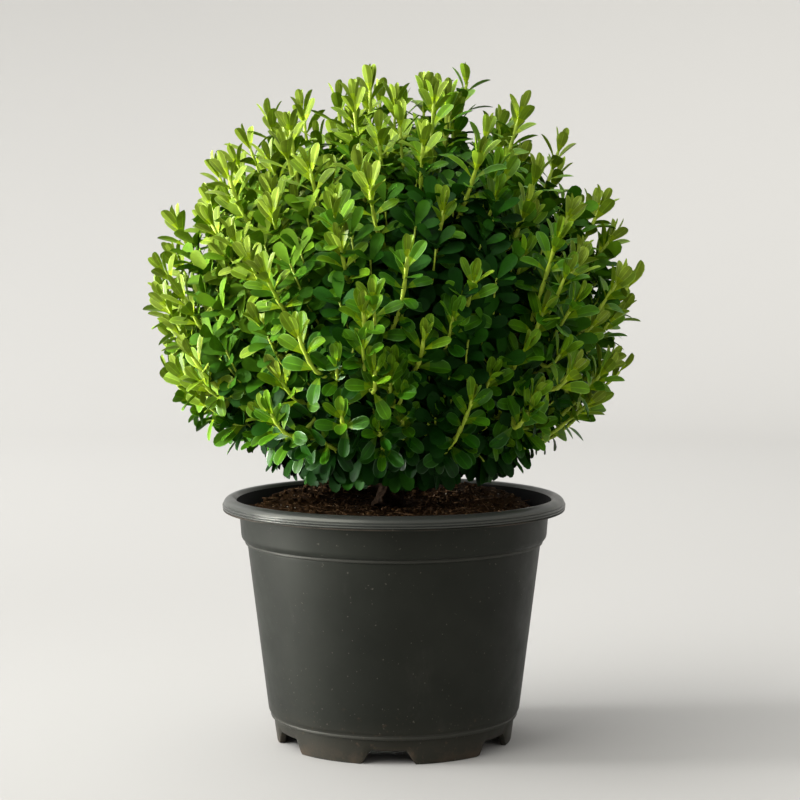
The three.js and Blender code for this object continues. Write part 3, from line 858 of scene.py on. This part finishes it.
def all_masses():
    """Each mass's name, its way out from the fan's point, and where its bough and its stem end."""
    found = []
    for ring in RINGS:
        for i in range(ring["count"]):
            direction = direction_of(ring["polar"], ring["turn"] + i * 360 / ring["count"])
            name = ring["name"] if ring["count"] == 1 else f"{ring['name']}_{i + 1}"
            stagger = ((i * 2) % ring["count"]) / ring["count"]
            length = reach(direction)
            mass = {"name": name, "ring": ring, "stagger": stagger, "direction": direction}
            mass["bough_end"] = FAN_POINT + direction * length * BOUGH_ENDS
            mass["stem_end"] = FAN_POINT + direction * length * STEM_ENDS
            from_tip = ring["leaves_trunk_at"] is None
            mass["stem_start"] = TRUNK_TIP if from_tip else mass["bough_end"]
            found.append(mass)
    return found


masses = all_masses()
mass_ways = np.array([mass["direction"] for mass in masses])


def mass_at(point):
    return masses[int(np.argmax(mass_ways @ (point - FAN_POINT)))]


def main_tips():
    """The tips that the solids' shoots end at: an even spiral, and the shoots on the front outline."""
    draw = seeded(SEED)
    lowest = math.cos(math.radians(LOWEST_MAIN_TIP))
    tips = []
    for i in range(MAIN_SHOOTS):
        height = 1 - ((i + 0.5) / MAIN_SHOOTS) * (1 - lowest)
        polar = math.degrees(math.acos(height)) + 6 * (draw() - 0.5)
        way = direction_of(polar, i * GOLDEN_TURN + 10 * (draw() - 0.5))
        tip = CROWN_MIDDLE + way * crown_radius(way) * (1 - SHOOT_UNEVEN * draw())
        middle = FAN_POINT + mass_at(tip)["direction"] * np.linalg.norm(tip - FAN_POINT)
        tips.append(mix(tip, middle, SHOOT_PULL))
    tips = [tip for tip in tips if not (tip[2] > CROWN_MIDDLE[2] and abs(tip[1]) < OUTLINE_BAND)]
    for turn, distance in OUTLINE_SHOOTS:
        tip = CROWN_MIDDLE + direction_of(turn, 90) * distance
        tip[1] += (draw() - 0.5) * OUTLINE_BAND
        tips.append(tip)
    return tips


# Shoots
LEAFY_LENGTH = {"main": 70, "side": 50, "inner": 34, "under": 30}  # how far down a shoot its leaves go
TIP_LEAF = 15  # how far the last pair of leaves stands past the end of its stem
SIDE_REACH = 0.97  # how far out a side shoot may end, as a share of the crown's reach
SHOOT_LIFT = 1.55  # how strongly the shoots turn upwards
STRAIGHT_LENGTH = 58  # how much of a shoot's end is nearly straight
SIDE_SHOOTS = 1.2  # on each main shoot, on average
SIDE_STARTS = (0.12, 0.4)  # as shares of the main shoot's length
SIDE_SHORTER = (12, 28)  # how far back from the main shoot's tip they end
SIDE_APART = (17, 27)  # and how far beside it
INNER_SHOOTS = (340, 300, 200)  # short shoots in the shells of shade under the main ones
INNER_SHARES = (0.86, 0.73, 0.56)
INNER_SINK = 0.16  # how much further in the shells are at the top
LOWEST_INNER_TIP = 150  # degrees from straight up
INNER_KINDS = ("inner", "under")
UNDER_SHOOTS = 150  # short shoots that hang along the crown's underside
UNDER_RADIUS = 95
UNDER_REACH = 82  # how far out leaves go at the very underside, and how much further with each step up
UNDER_WIDENING = 1.8
FRINGE = 1  # how far single leaves hang below the masses
OUTLINE_SLACK = 0.03  # how far a leaf may stand out of the crown, as a share of its reach
LOW_SLACK = 0.14  # and how much further low down


def lowness(tip):
    return smooth_step(0.3, 0.85, (CROWN_MIDDLE[2] - tip[2]) / CROWN_DOWNWARDS)


def growth_at(tip):
    """The way a shoot points at its tip: outwards and up, the lowest ones hardly up."""
    outward = unit(tip - CROWN_MIDDLE)
    lift = SHOOT_LIFT * (1 - 0.8 * lowness(tip))
    return unit(outward + UP * lift + rng.normal(0, 0.1, 3))


def grown_shoot(tip, kind, start=None):
    growth = growth_at(tip)
    end = tip - growth * TIP_LEAF
    if start is None:
        mass = mass_at(tip)
        start = mix(mass["stem_start"], mass["stem_end"], rng.uniform(0.5, 0.95))
    upper = end - growth * min(STRAIGHT_LENGTH, 0.75 * np.linalg.norm(end - start))
    control = (start, mix(start, upper, 0.6), upper, end)
    return {"control": control, "growth": growth, "tip": tip, "kind": kind, "tone": rng.uniform()}


def side_shoot(parent):
    """A shoot that leaves a main one part way along, and ends a little lower beside it."""
    control = parent["control"]
    start = curve_points(control, [rng.uniform(*SIDE_STARTS)])[0]
    growth = parent["growth"]
    aside = unit(np.cross(growth, rng.normal(0, 1, 3)))
    if abs(aside[2]) > 0.6:
        aside = unit(aside * np.array([1, 1, 0.4]))
    tip = parent["tip"] - growth * rng.uniform(*SIDE_SHORTER) + aside * rng.uniform(*SIDE_APART)
    outward = tip - CROWN_MIDDLE
    limit = crown_radius(unit(outward)) * SIDE_REACH
    distance = np.linalg.norm(outward)
    if distance > limit:
        tip = CROWN_MIDDLE + outward / distance * limit
    tip[2] = max(tip[2], CROWN_UNDERSIDE + 4)
    return grown_shoot(tip, "side", start)


def inner_tips(count, share):
    """Tips spread in a spiral over one shell inside the crown."""
    lowest = math.cos(math.radians(LOWEST_INNER_TIP))
    for i in range(count):
        height = 1 - ((i + 0.5) / count) * (1 - lowest)
        way = direction_of(math.degrees(math.acos(height)), i * GOLDEN_TURN + rng.uniform(0, 25))
        sunk = share - INNER_SINK * smooth_step(0.3, 0.9, way[2])
        tip = CROWN_MIDDLE + way * crown_radius(way) * sunk * rng.uniform(0.93, 1.05)
        if tip[2] > CROWN_UNDERSIDE + 6:
            yield tip


def under_tips():
    """Tips spread over the crown's underside, a little higher at its edge."""
    for i in range(UNDER_SHOOTS):
        radius = UNDER_RADIUS * math.sqrt((i + 0.5) / UNDER_SHOOTS)
        turn = i * math.radians(GOLDEN_TURN) + rng.uniform(0, 0.6)
        height = CROWN_UNDERSIDE + rng.uniform(2, 9) + 5 * (radius / UNDER_RADIUS) ** 3
        yield np.array([radius * math.cos(turn), radius * math.sin(turn), height])


def all_shoots():
    mains = [grown_shoot(tip, "main") for tip in main_tips()]
    shoots = list(mains)
    for parent in mains:
        for _ in range(int(SIDE_SHOOTS + rng.uniform())):
            shoots.append(side_shoot(parent))
    for count, share in zip(INNER_SHOOTS, INNER_SHARES):
        shoots.extend(grown_shoot(tip, "inner") for tip in inner_tips(count, share))
    shoots.extend(grown_shoot(tip, "under") for tip in under_tips())
    return shoots


# Leaves
LEAF_ROWS = np.array([0, 0.14, 0.36, 0.58, 0.78, 0.91, 0.98])
LEAF_COLUMNS = np.array([-1, -0.87, -0.48, -0.08, 0.08, 0.48, 0.87, 1])
LEAF_STRIPS = [2, 0, 0, 1, 0, 0, 2]  # each strip's skin: 0 the blade's, 1 the midrib's, 2 the margin's with its painted sheen
LEAF_FOOT_STRIPS = [3, 3, 3, 1, 3, 3, 3]  # the same near the stalk, where 3 is the leaf's yellower foot, partly a painted glow
LEAF_FOOT_ROWS = 2
SMALL_ROWS = np.array([0, 0.25, 0.55, 0.8, 0.95])
SMALL_COLUMNS = np.array([-1, 0, 1])
LEAF_GAPS = [3.2, 5.2, 6.4, 7.3]  # between a shoot's first pairs of leaves, and all further ones
PAIRS = [0, 1, 2, 3, 5, 8]  # pairs of leaves, counted from a shoot's tip, with the next three values
LEAF_OPENING = [10, 26, 40, 53, 70, 84]  # degrees between leaf and stem
LEAF_LENGTHS = [16, 19, 21, 21, 19.5, 18]
LEAF_RATIOS = [0.35, 0.37, 0.4, 0.43, 0.48, 0.52]  # width to length
OLD_PAIR = 7  # from this pair on, leaves are full grown
LEAF_UNEVEN = 0.22  # how much lighter and darker a leaf's colour is from place to place


def half_width(along):
    """A leaf's half width along it, as a share of the widest: narrow at the stalk, round at the tip."""
    taper = 1.15
    widest = taper / (taper + 0.5)
    shape = along**taper * np.sqrt(np.maximum(0, 1 - along))
    return np.maximum(shape / (widest**taper * math.sqrt(1 - widest)), 0.11 * (along < 0.5))


def leaf_template(rows, columns):
    """Faces of one leaf: a grid of quads, closed at its tip by a fan."""
    across = len(columns)
    quads = [
        [corner, corner + 1, corner + across + 1, corner + across]
        for row in range(len(rows) - 1)
        for corner in range(row * across, row * across + across - 1)
    ]
    tip = len(rows) * across
    fans = [[corner, corner + 1, tip] for corner in range(tip - across, tip - 1)]
    return np.array(quads), np.array(fans)


def leaf_corners(leaves, rows, columns):
    """Corners of many leaves at once. Each leaf bends along its length and is cupped across it."""
    root, way, face = leaves["root"], leaves["way"], leaves["face"]
    across = np.cross(face, way)
    length, width = leaves["length"], leaves["width"]
    bend, fold, curl = leaves["bend"], leaves["fold"], leaves["curl"]
    t = np.repeat(rows, len(columns))
    u = np.tile(columns, len(rows))
    half = half_width(t)
    t, u, half = np.append(t, 1.0), np.append(u, 0.0), np.append(half, 0.0)
    angle = bend[:, None] * t
    along = length[:, None] * t * (1 - angle**2 / 6)
    rise = length[:, None] * angle * t / 2
    side = u * half * width[:, None] / 2
    cup = half * width[:, None] / 2 * (fold[:, None] * np.abs(u) - curl[:, None] * u**2)
    return (
        root[:, None]
        + way[:, None] * along[..., None]
        + across[:, None] * side[..., None]
        + face[:, None] * (rise + cup)[..., None]
    )


def leaf_piece(name, leaves, rows, columns, materials):
    corners = leaf_corners(leaves, rows, columns)
    count, per_leaf = corners.shape[:2]
    faces = [copied(shape, count, per_leaf) for shape in leaf_template(rows, columns)]
    if len(materials) == 1:
        return mesh_object(name, corners, faces, materials)
    blade_rows = len(rows) - 1 - LEAF_FOOT_ROWS
    quad_strips = np.tile(LEAF_FOOT_STRIPS * LEAF_FOOT_ROWS + LEAF_STRIPS * blade_rows, count)
    strips = np.concatenate([quad_strips, np.tile(LEAF_STRIPS, count)])
    return mesh_object(name, corners, faces, materials, strips)


def node_depths(kind):
    """Distances of a shoot's leaf pairs from the end of its stem: close at the tip, wider below."""
    leafy = LEAFY_LENGTH[kind] * rng.uniform(0.85, 1.15)
    closeness = 0.75 if kind in INNER_KINDS else 1
    depths, depth = [], 0.6
    while depth < leafy:
        spacing = LEAF_GAPS[min(len(depths), len(LEAF_GAPS) - 1)]
        depths.append(depth)
        depth += spacing * closeness * rng.uniform(0.85, 1.15)
    return np.array(depths)


def leaf_nodes(shoot):
    """Where a shoot's pairs of leaves stand, and the stem's way there, with two directions across it."""
    control = shoot["control"]
    depths = node_depths(shoot["kind"])
    shares = np.linspace(0, 1, 41)
    line = curve_points(control, shares)
    travelled = np.concatenate([[0], np.cumsum(np.linalg.norm(np.diff(line, axis=0), axis=1))])
    depths = depths[depths < travelled[-1] * 0.92]
    share = np.interp(travelled[-1] - depths, travelled, shares)
    place = curve_points(control, share)
    tangent = unit(place - curve_points(control, share - 0.01))
    helper = np.where(np.abs(tangent[:, 2:]) > 0.9, np.array([1.0, 0, 0]), UP)
    across = unit(np.cross(helper, tangent))
    return place, tangent, across, np.cross(tangent, across)


def shoot_leaves(shoot):
    """The leaves of one shoot, in crosswise pairs, as arrays with one row per leaf."""
    kind = shoot["kind"]
    nodes = leaf_nodes(shoot)
    pair = np.arange(len(nodes[0]))
    turn = rng.uniform(0, math.pi) + pair * math.pi / 2 + rng.normal(0, 0.14, len(pair))
    turn = np.concatenate([turn, turn + math.pi])
    place, tangent, across, upward = (np.concatenate([rows, rows]) for rows in nodes)
    pair = np.concatenate([pair, pair]) + (2 if kind in INNER_KINDS else 0)
    count = len(pair)
    outward = across * np.cos(turn)[:, None] + upward * np.sin(turn)[:, None]
    age = np.clip(pair / OLD_PAIR, 0, 1)
    opening = np.radians(np.interp(pair, PAIRS, LEAF_OPENING) + rng.normal(0, 6, count))
    way = tangent * np.cos(opening)[:, None] + outward * np.sin(opening)[:, None]
    low = lowness(shoot["tip"])
    way = unit(way + UP * (0.12 - 0.95 * low * np.sqrt(age))[:, None])
    turned_out = (1.3 if kind in INNER_KINDS else 0.25 + 0.85 * age[:, None])
    facing = tangent + UP * 0.25 + unit(shoot["tip"] - CROWN_MIDDLE) * turned_out
    if kind == "under":
        way = unit(way - UP * 0.7)
        facing = unit(shoot["tip"] * np.array([1, 1, 0])) + UP * 0.35 + rng.normal(0, 0.3, (count, 3))
    face = unit(facing - way * np.sum(facing * way, axis=1, keepdims=True))
    lengths = np.interp(pair, PAIRS, LEAF_LENGTHS) * rng.normal(1, 0.07, count)
    ratio = np.interp(pair, PAIRS, LEAF_RATIOS) * rng.normal(1, 0.06, count)
    if kind == "inner":
        lengths *= 0.88
        ratio *= 1.2
    return {
        "root": place + outward * 0.5,
        "way": way,
        "face": face,
        "length": lengths,
        "width": lengths * ratio,
        "bend": mix(-0.02, -0.5, np.clip(age * 1.5, 0, 1)) + rng.normal(0, 0.15, count),
        "fold": mix(0.46, 0.3, age) + rng.normal(0, 0.07, count),
        "curl": mix(0.04, 0.2, age) + rng.normal(0, 0.09, count),
        "tone": leaf_tones(shoot, pair),
    }


PAINTED_SUN_WAY = np.array([-0.8, -0.15, 0.58])  # on the upper left the leaves are painted paler, as painted light
PAINTED_SHADE_WAY = np.array([0.1, -1, -0.05])  # on the front they are painted darker, as painted shade
PAINTED_LIGHT_RIGHT_WAY = np.array([1.0, 0.15, 0.1])  # and on the right side they are painted a little paler again, as painted light
# steps from palest to darkest; a leaf's step comes from its age and from painted light and shade
TONES = ["bud", "young", "fresh", "leafy", "mature", "deep", "shade"]
TONE_PAIRS = [0, 1, 2, 4, 8]  # pairs of leaves, counted from a shoot's tip, with the next tones
PAIR_TONES = [0.2, 0.9, 1.8, 3.0, 4.3]
KIND_TONES = {"main": 0.3, "side": 1.15, "inner": 2.7, "under": 1.0}  # how much darker each kind is: partly older leaves, partly painted shade deeper in the crown


def leaf_tones(shoot, pair):
    """Each leaf's tone, as its place in TONES: by how old it is, with painted shade low down, deep in the
    crown and on the front, and painted light on the upper left and the right.
    """
    low = lowness(shoot["tip"])
    outward = unit(shoot["tip"] - CROWN_MIDDLE)
    painted_sun = smooth_step(0.05, 0.85, outward @ PAINTED_SUN_WAY)
    painted_shade = smooth_step(0.4, 0.95, outward @ PAINTED_SHADE_WAY)
    painted_light_right = smooth_step(0.35, 0.9, outward @ PAINTED_LIGHT_RIGHT_WAY)
    # painted light and shade: paler tones on the upper left and the right, darker ones on the front, low
    # down and for the inner kinds
    tone = (
        (1 - 0.2 * painted_sun) * np.interp(pair, TONE_PAIRS, PAIR_TONES)
        + KIND_TONES[shoot["kind"]] * (1 - 0.35 * max(painted_sun, 0.7 * painted_light_right))
        - 1.7 * painted_sun
        + 0.5 * painted_shade
        - 1.2 * painted_light_right
        + 2.5 * low
        + 1.1 * (shoot["tone"] - 0.5)
        + rng.normal(0, 0.28, len(pair))
    )
    return np.clip(np.round(tone), 0, len(TONES) - 1).astype(int)


def keep_inside(leaves):
    """Leaves whose tips stay within the crown's reach and above its underside."""
    tips = leaves["root"] + leaves["way"] * leaves["length"][:, None]
    from_middle = tips - CROWN_MIDDLE
    distance = np.linalg.norm(from_middle, axis=1)
    low = smooth_step(CROWN_MIDDLE[2] - 60, CROWN_UNDERSIDE + 20, tips[:, 2])
    slack = 1 + OUTLINE_SLACK + LOW_SLACK * low
    inside = distance < crown_radius(unit(from_middle)) * slack
    above = np.minimum(tips[:, 2], leaves["root"][:, 2] - 2) - CROWN_UNDERSIDE + FRINGE
    narrow = np.hypot(tips[:, 0], tips[:, 1]) < UNDER_REACH + UNDER_WIDENING * above
    return inside & narrow & (above > 0)


def gathered(shoots):
    parts = [shoot_leaves(shoot) for shoot in shoots]
    leaves = {key: np.concatenate([part[key] for part in parts]) for key in parts[0]}
    kept = keep_inside(leaves)
    return {key: value[kept] for key, value in leaves.items()}


LEAF_COLORS = {
    "bud": (0.18, 0.255, 0.022),
    "young": (0.14, 0.228, 0.012),
    "fresh": (0.096, 0.203, 0.006),
    "leafy": (0.053, 0.15, 0.004),
    "mature": (0.027, 0.1, 0.002),
    "deep": (0.0095, 0.055, 0.001),
    "shade": (0.003, 0.026, 0.0006),
}
FOOT_COLOR_AND_GLOW = (0.3, 0.42, 0.004)  # towards this the outer leaves turn near their stalks: partly their own yellower colour, partly a painted glow of light shining through them
FOOT_AND_GLOW_SHARES = [0.75, 0.7, 0.55, 0.35, 0.2, 0.08, 0]
MIDRIB_LIGHTER = 1.5
# the margins are painted lighter as a painted sheen on their curled edges
MARGIN_PAINTED_SHEEN = 1.55


def foliage(shoots):
    outer = gathered([shoot for shoot in shoots if shoot["kind"] not in INNER_KINDS])
    inner = gathered([shoot for shoot in shoots if shoot["kind"] in INNER_KINDS])
    nodes = [f"foliage_{mass['name']}" for mass in masses]
    outer_skins = {
        tone: [
            leaf_skin(f"leaf_{tone}", color),
            leaf_skin(f"midrib_{tone}", lighter(color, MIDRIB_LIGHTER), roughness=0.55),
            # margin skins: painted lighter as a painted sheen
            leaf_skin(f"margin_{tone}", lighter(color, MARGIN_PAINTED_SHEEN), sheen=0.35),
            leaf_skin(f"foot_{tone}", tuple(mix(np.array(color), np.array(FOOT_COLOR_AND_GLOW), share))),
        ]
        for (tone, color), share in zip(LEAF_COLORS.items(), FOOT_AND_GLOW_SHARES)
    }
    inner_skins = {
        tone: [leaf_skin(f"inner_{tone}", color, roughness=0.6, sheen=0.08)]
        for tone, color in LEAF_COLORS.items()
    }
    for layer, leaves, rows, columns, skins in (
        ("outer", outer, LEAF_ROWS, LEAF_COLUMNS, outer_skins),
        ("inner", inner, SMALL_ROWS, SMALL_COLUMNS, inner_skins),
    ):
        for number, tone in enumerate(TONES):
            chosen = {key: value[leaves["tone"] == number] for key, value in leaves.items()}
            if len(chosen["root"]) == 0:
                continue
            piece = leaf_piece(f"leaves_{layer}_{tone}", chosen, rows, columns, skins[tone])
            hand_over(piece, nodes)


# Twigs
GREEN_LENGTH = 50  # how far below its tip a shoot's bark is still green
SWELLING = 0.2  # of a twig where leaves stand, as a share of its radius
TWIG_RADII = {  # at a shoot's foot and at its tip
    "main": (2.1, 1.25), "side": (1.65, 1.0), "inner": (1.1, 0.6), "under": (1.1, 0.6)
}


def twig_tubes(shoot):
    """A shoot's green tip and its tan foot, as two tubes with small swellings where its leaves stand."""
    control = shoot["control"]
    length = curve_length(control)
    steps = max(4, int(length / (9 if shoot["kind"] in INNER_KINDS else 4.5)))
    split = max(0.0, 1 - GREEN_LENGTH / length)
    thick, thin = TWIG_RADII[shoot["kind"]]

    def part(start, end):
        count = max(3, int(steps * (end - start)) + 2)
        shares = np.linspace(start, end, count)
        swelling = 1 + SWELLING * np.cos(np.arange(count) * math.pi)
        return curve_points(control, shares), mix(thick, thin, shares) * swelling

    green = part(split, 1)
    return green, (part(0, split + 0.01) if split > 0.05 else None)


def twigs(shoots):
    green, tan = [], []
    for shoot in shoots:
        tip_part, foot_part = twig_tubes(shoot)
        green.append(tip_part)
        if foot_part is not None:
            tan.append(foot_part)
    shares = np.linspace(0, 1, 8)
    for mass in masses:
        line = mix(mass["stem_start"], mass["stem_end"], shares[:, None])
        tan.append((line, mix(BOUGH_TIP_RADIUS, 1.5, shares)))
    green_skin = twig_skin("twig_green", (0.25, 0.36, 0.018), (0.42, 0.54, 0.032))
    tan_skin = twig_skin("twig_tan", (0.055, 0.05, 0.014), (0.13, 0.11, 0.035))
    tube_piece("twigs_green", green, 6, green_skin)
    tube_piece("twigs_tan", tan, 6, tan_skin)


# Trunk and boughs
def trunk_middle(shares):
    knee = np.array([0, 0, mix(TRUNK_FOOT[2], TRUNK_TIP[2], TRUNK_KNEE)])
    return curve_points((TRUNK_FOOT, knee, TRUNK_TIP), shares)


def trunk_tube():
    height = TRUNK_TIP[2] - TRUNK_FOOT[2]
    shares = np.linspace(0, 1, 40)
    line = trunk_middle(shares)
    sides = 48
    turns = full_turn(sides)
    flare = np.exp(-shares * height / ROOT_FLARE_HEIGHT) * ROOT_FLARE
    buttress = 0.6 + 0.4 * np.cos(ROOT_BUTTRESSES * turns)
    radii = mix(TRUNK_BASE_RADIUS, TRUNK_TIP_RADIUS, shares)[:, None] + flare[:, None] * buttress
    corners, quads, ends = tube(line, np.ones(len(line)), sides)
    centre = np.repeat(line, sides, axis=0)
    corners = centre + (corners - centre) * radii.ravel()[:, None]
    corners[:, 2] = np.maximum(corners[:, 2], TRUNK_FOOT[2])
    return corners, quads, ends


def bough_control(mass):
    height = mass["ring"]["leaves_trunk_at"] + mass["stagger"] * BOUGH_STAGGER
    risen = (height - TRUNK_FOOT[2]) / (TRUNK_TIP[2] - TRUNK_FOOT[2])
    rest = 1 - 2 * TRUNK_KNEE
    start = trunk_middle([(math.sqrt(TRUNK_KNEE**2 + rest * risen) - TRUNK_KNEE) / rest])[0]
    end = mass["bough_end"]
    return start, end - mass["direction"] * 0.5 * np.linalg.norm(end - start), end


def trunk_and_boughs():
    corners, quads, ends = trunk_tube()
    shares = np.linspace(0, 1, 16)
    bough_radii = mix(BOUGH_BASE_RADIUS + 0.6, BOUGH_TIP_RADIUS, shares)
    on_boughs = [mass for mass in masses if mass["ring"]["leaves_trunk_at"] is not None]
    limbs = [(curve_points(bough_control(mass), shares), bough_radii) for mass in on_boughs]
    limb_corners, (limb_quads, limb_ends) = tube_mesh(limbs, 12)
    shift = len(corners)
    piece = mesh_object(
        "trunk_and_boughs",
        np.concatenate([corners, limb_corners]),
        [np.concatenate([quads, limb_quads + shift]), np.concatenate([ends, limb_ends + shift])],
        # very dark bark: its own brown, darkened further as painted shade under the crown
        [bark("bark", (0.0035, 0.0018, 0.0008), (0.019, 0.0105, 0.005))],
    )
    remesh = piece.modifiers.new("fused", "REMESH")
    remesh.mode = "VOXEL"
    remesh.voxel_size = BARK_VOXEL * MM
    apply_modifiers(piece)
    raise_bark(piece)
    hand_over(piece, ["trunk"] + [f"bough_{mass['name']}" for mass in on_boughs])


def raise_bark(piece):
    """Bark in lumps and short ridges along the limbs, strongest at the foot of the trunk."""
    mesh = piece.data
    count = len(mesh.vertices)
    places, normals = np.zeros(count * 3), np.zeros(count * 3)
    mesh.vertices.foreach_get("co", places)
    mesh.vertices.foreach_get("normal", normals)
    places, normals = places.reshape(-1, 3) / MM, normals.reshape(-1, 3)
    ridges = [noise.noise(Vector((x * 0.35, y * 0.35, z * 0.14))) for x, y, z in places]
    lumps = [noise.noise(Vector((x, y, z * 0.5)) * 0.9) for x, y, z in places]
    lift = np.array(ridges) + 0.5 * np.array(lumps)
    low = smooth_step(212, 176, places[:, 2])
    amount = BARK_RELIEF * mix(0.35, 2.3, low) * lift
    places += normals * amount[:, None]
    places[:, 2] = np.maximum(places[:, 2], TRUNK_FOOT[2])
    mesh.vertices.foreach_set("co", (places * MM).ravel())
    mesh.polygons.foreach_set("use_smooth", np.full(len(mesh.polygons), True))
    mesh.update()


# Stage, light and camera
def backdrop():
    """A pale floor that sweeps up into a wall all round, so that each side has the same ground."""
    floor_radius, sweep, wall = 2300, 900, 1350
    bend = np.linspace(0, math.pi / 2, 24)
    radii = np.concatenate([[1, 600, 1500], floor_radius + sweep * np.sin(bend), [floor_radius + sweep]])
    heights = np.concatenate([[0, 0, 0], sweep * (1 - np.cos(bend)), [wall]])
    segments = 96
    turns = full_turn(segments)
    x, y = np.outer(radii, np.cos(turns)), np.outer(radii, np.sin(turns))
    corners = np.stack([x, y, np.repeat(heights[:, None], segments, 1)], axis=-1).reshape(-1, 3)
    quads = ring_quads(len(radii), segments, flipped=True)
    paper, tree, shader = principled("backdrop_paper", (0.8, 0.79, 0.77), 0.9)
    # the paper is painted a little lighter further out towards the wall: painted light that evens out the
    # stage
    far = distance_from_middle(tree, 4000)
    color = ramp(
        tree,
        far,
        [(0.1, (0.4, 0.393, 0.377)), (0.5, (0.412, 0.406, 0.391)), (0.8, (0.426, 0.42, 0.406))],
    )
    tree.links.new(color, shader.inputs["Base Color"])
    cap = np.arange(segments)[None]
    floor = mesh_object("floor", corners, [quads, cap], [paper])
    floor.location.z = -0.02 * MM
    floor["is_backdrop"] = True


def area_light(name, place, aim, size, power, color=(1, 1, 1), spread=180):
    """A round soft lamp, in metres, watts and degrees, that no camera sees."""
    lamp = bpy.data.lights.new(name, "AREA")
    lamp.spread = math.radians(spread)
    lamp.shape = "DISK"
    lamp.size = size
    lamp.energy = power
    lamp.color = color
    light = bpy.data.objects.new(name, lamp)
    light.location = place
    light.rotation_euler = (Vector(aim) - Vector(place)).to_track_quat("-Z", "Y").to_euler()
    light.visible_camera = False
    bpy.context.scene.collection.objects.link(light)


def lighting():
    """Soft daylight from the upper left, fills on the left and from above, and one on the far wall."""
    area_light("key", (-7.0, -3.07, 5.2), (0, 0, 0.2), 11.0, 1560, (1, 0.99, 0.96))
    area_light("side", (-2.2, -0.12, 0.36), (0, 0, 0.3), 0.6, 4.5, spread=30)
    area_light("top", (-1.2, 0.9, 2.6), (-0.3, 0.4, 0), 3.0, 54)
    area_light("wall", (-1.9, 2.2, 1.5), (-1.0, 3.1, 0.8), 0.8, 9)
    world = bpy.data.worlds.new("studio")
    world.use_nodes = True
    world.node_tree.nodes["Background"].inputs["Color"].default_value = (1, 0.995, 0.985, 1)
    world.node_tree.nodes["Background"].inputs["Strength"].default_value = 0.77
    bpy.context.scene.world = world


FOCAL_PIXELS = 2117
IMAGE_PIXELS = 800
SENSOR = 36
CAMERA_PLACE = (4.2, -1476, 352)
CAMERA_PITCH = 4.39  # degrees downwards


def camera():
    lens = bpy.data.cameras.new("camera")
    lens.sensor_width = SENSOR
    lens.lens = FOCAL_PIXELS / IMAGE_PIXELS * SENSOR
    lens.clip_end = 20
    view = bpy.data.objects.new("camera", lens)
    view.location = Vector(CAMERA_PLACE) * MM
    view.rotation_euler = (math.radians(90 - CAMERA_PITCH), 0, 0)
    bpy.context.scene.collection.objects.link(view)
    bpy.context.scene.camera = view


camera()
lighting()
backdrop()
pot()
soil()
for crumb_name, crumb_count, crumb_sizes, dark, light in CRUMBS:
    crumb_skin = soil_crumbs(f"crumb_{crumb_name}", dark, light)
    crumbs(f"soil_crumbs_{crumb_name}", crumb_count, crumb_sizes, crumb_skin)
soil_fibres()
trunk_and_boughs()
shoots = all_shoots()
twigs(shoots)
foliage(shoots)
bpy.context.scene.view_settings.view_transform = "Standard"

boxes = {"cad": cad_box, "visual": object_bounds()}
{key: [list(corner) for corner in box] for key, box in boxes.items()}
